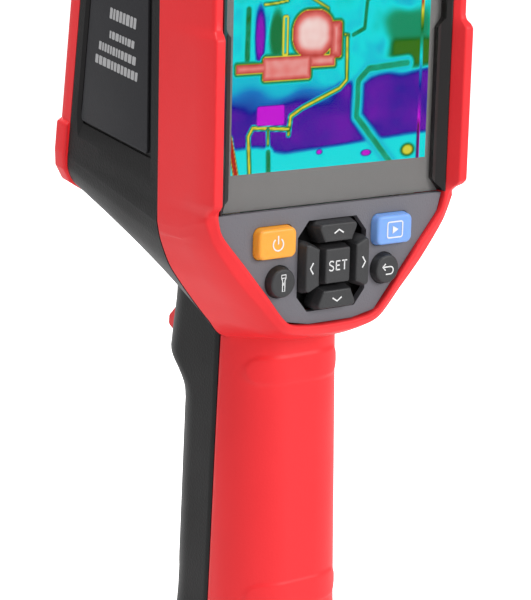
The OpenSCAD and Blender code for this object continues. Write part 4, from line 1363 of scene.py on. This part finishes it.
def make_stage(floor_size, key_power, world_strength):
    mesh = bpy.data.meshes.new("floor")
    h = floor_size / 2
    mesh.from_pydata([(-h, -h, 0), (h, -h, 0), (h, h, 0), (-h, h, 0)], [], [(0, 1, 2, 3)])
    floor = link("floor", mesh)
    mat = bpy.data.materials.new("floor")
    mat.use_nodes = True
    shader = mat.node_tree.nodes["Principled BSDF"]
    shader.inputs["Base Color"].default_value = (0.93, 0.93, 0.93, 1.0)
    shader.inputs["Roughness"].default_value = 0.8
    shader.inputs["Emission Color"].default_value = (1.0, 1.0, 1.0, 1.0)
    looked_at = mat.node_tree.nodes.new("ShaderNodeLightPath")
    glow = mat.node_tree.nodes.new("ShaderNodeMath")
    glow.operation = "MULTIPLY"
    glow.inputs[1].default_value = FLOOR_GLOW
    mat.node_tree.links.new(looked_at.outputs["Is Camera Ray"], glow.inputs[0])
    mat.node_tree.links.new(glow.outputs[0], shader.inputs["Emission Strength"])
    floor.data.materials.append(mat)
    world = bpy.data.worlds.new("studio")
    bpy.context.scene.world = world
    world.use_nodes = True
    sky = world.node_tree.nodes["Background"]
    sky.inputs["Color"].default_value = (1.0, 1.0, 1.0, 1.0)
    seen = world.node_tree.nodes.new("ShaderNodeLightPath")
    brightness = world.node_tree.nodes.new("ShaderNodeMapRange")
    brightness.inputs["To Min"].default_value = world_strength
    brightness.inputs["To Max"].default_value = 1.0
    world.node_tree.links.new(seen.outputs["Is Camera Ray"], brightness.inputs["Value"])
    world.node_tree.links.new(brightness.outputs[0], sky.inputs["Strength"])
    for name, at, target, size, share in LIGHTS:
        area_light(name, at, target, size, key_power * share)
    make_camera()
    bpy.context.scene.view_settings.view_transform = "Standard"


# ---- Add-on parts ----
class ImagerDisplaySettings(bpy.types.PropertyGroup):
    columns: bpy.props.IntProperty(name="Picture columns", description="Points across the display's picture",
                                   default=260, min=40, max=300)
    rows: bpy.props.IntProperty(name="Picture rows", description="Points up the display's picture",
                                default=195, min=30, max=220)


class ImagerStageSettings(bpy.types.PropertyGroup):
    floor_size: bpy.props.FloatProperty(name="Floor size", description="Side of the square floor",
                                        default=8.0,
                                        unit="LENGTH", subtype="DISTANCE")
    key_power: bpy.props.FloatProperty(name="Key light", description="Power of the main soft light",
                                       default=5.6,
                                       unit="POWER")
    world_strength: bpy.props.FloatProperty(name="Surround", description="Strength of the white surround",
                                            default=0.5, min=0.0)


class BuilderOperator:
    """Shared shape of the operators: each builds its pieces and finishes."""
    bl_options = {"REGISTER", "UNDO"}
    steps = ()

    def execute(self, context):
        for step in self.steps:
            step()
        return {"FINISHED"}


class IMAGER_OT_materials(BuilderOperator, bpy.types.Operator):
    """Makes the procedural finishes"""
    bl_idname = "imager.materials"
    bl_label = "Finishes"
    steps = (make_materials,)


class IMAGER_OT_head(BuilderOperator, bpy.types.Operator):
    """Builds the red head, the black middle and the red front housing"""
    bl_idname = "imager.head"
    bl_label = "Head housings"
    steps = (make_head_back, make_middle, make_front)


class IMAGER_OT_labels(BuilderOperator, bpy.types.Operator):
    """Builds the label plates in the head's sides"""
    bl_idname = "imager.labels"
    bl_label = "Side labels"

    def execute(self, context):
        for side in (-1, 1):
            make_label(side)
        return {"FINISHED"}


class IMAGER_OT_handle(BuilderOperator, bpy.types.Operator):
    """Builds the handle's halves, its cushion and the trigger"""
    bl_idname = "imager.handle"
    bl_label = "Handle"
    steps = (make_handle_back, make_handle_front, make_pad, make_trigger)


class IMAGER_OT_display(BuilderOperator, bpy.types.Operator):
    """Builds the display's picture"""
    bl_idname = "imager.display"
    bl_label = "Display"

    def execute(self, context):
        settings = context.scene.imager_display
        make_picture(settings.columns, settings.rows)
        make_display_border()
        return {"FINISHED"}


class IMAGER_OT_keys(BuilderOperator, bpy.types.Operator):
    """Builds the keys and their printed marks"""
    bl_idname = "imager.keys"
    bl_label = "Keys"
    steps = (make_block_keys, make_round_keys, make_pad_keys, make_legends)


class IMAGER_OT_optics(BuilderOperator, bpy.types.Operator):
    """Builds the lens barrel and the rings of the front eyes"""
    bl_idname = "imager.optics"
    bl_label = "Optics"
    steps = (make_barrel, make_front_eyes)


class IMAGER_OT_kept(BuilderOperator, bpy.types.Operator):
    """Gives the carried-over parts rounded edges and finishes"""
    bl_idname = "imager.kept"
    bl_label = "Carried-over parts"
    steps = (dress_kept,)


class IMAGER_OT_stage(BuilderOperator, bpy.types.Operator):
    """Builds the floor, the lights and the camera"""
    bl_idname = "imager.stage"
    bl_label = "Stage"

    def execute(self, context):
        settings = context.scene.imager_stage
        make_stage(settings.floor_size, settings.key_power, settings.world_strength)
        return {"FINISHED"}


class IMAGER_PT_panel(bpy.types.Panel):
    """Sidebar panel with the settings and the steps"""
    bl_idname = "IMAGER_PT_panel"
    bl_label = "Imager"
    bl_space_type = "VIEW_3D"
    bl_region_type = "UI"
    bl_category = "Imager"

    def draw(self, context):
        layout = self.layout
        for settings, names in ((context.scene.imager_display, ("columns", "rows")),
                                (context.scene.imager_stage, ("floor_size", "key_power", "world_strength"))):
            for name in names:
                layout.prop(settings, name)
        for step in STEPS:
            layout.operator("imager." + step)


STEPS = ("materials", "head", "labels", "handle", "display", "keys", "optics", "kept", "stage")
CLASSES = (ImagerDisplaySettings, ImagerStageSettings, IMAGER_OT_materials, IMAGER_OT_head, IMAGER_OT_labels,
           IMAGER_OT_handle, IMAGER_OT_display, IMAGER_OT_keys, IMAGER_OT_optics, IMAGER_OT_kept,
           IMAGER_OT_stage,
           IMAGER_PT_panel)


def register():
    for cls in CLASSES:
        bpy.utils.register_class(cls)
    bpy.types.Scene.imager_display = bpy.props.PointerProperty(type=ImagerDisplaySettings)
    bpy.types.Scene.imager_stage = bpy.props.PointerProperty(type=ImagerStageSettings)


def unregister():
    del bpy.types.Scene.imager_stage
    del bpy.types.Scene.imager_display
    for cls in reversed(CLASSES):
        bpy.utils.unregister_class(cls)


def main():
    register()
    for step in STEPS:
        result = getattr(bpy.ops.imager, step)()
        if "FINISHED" not in result:
            raise RuntimeError("the step " + step + " did not finish")


if __name__ == "__main__":
    main()
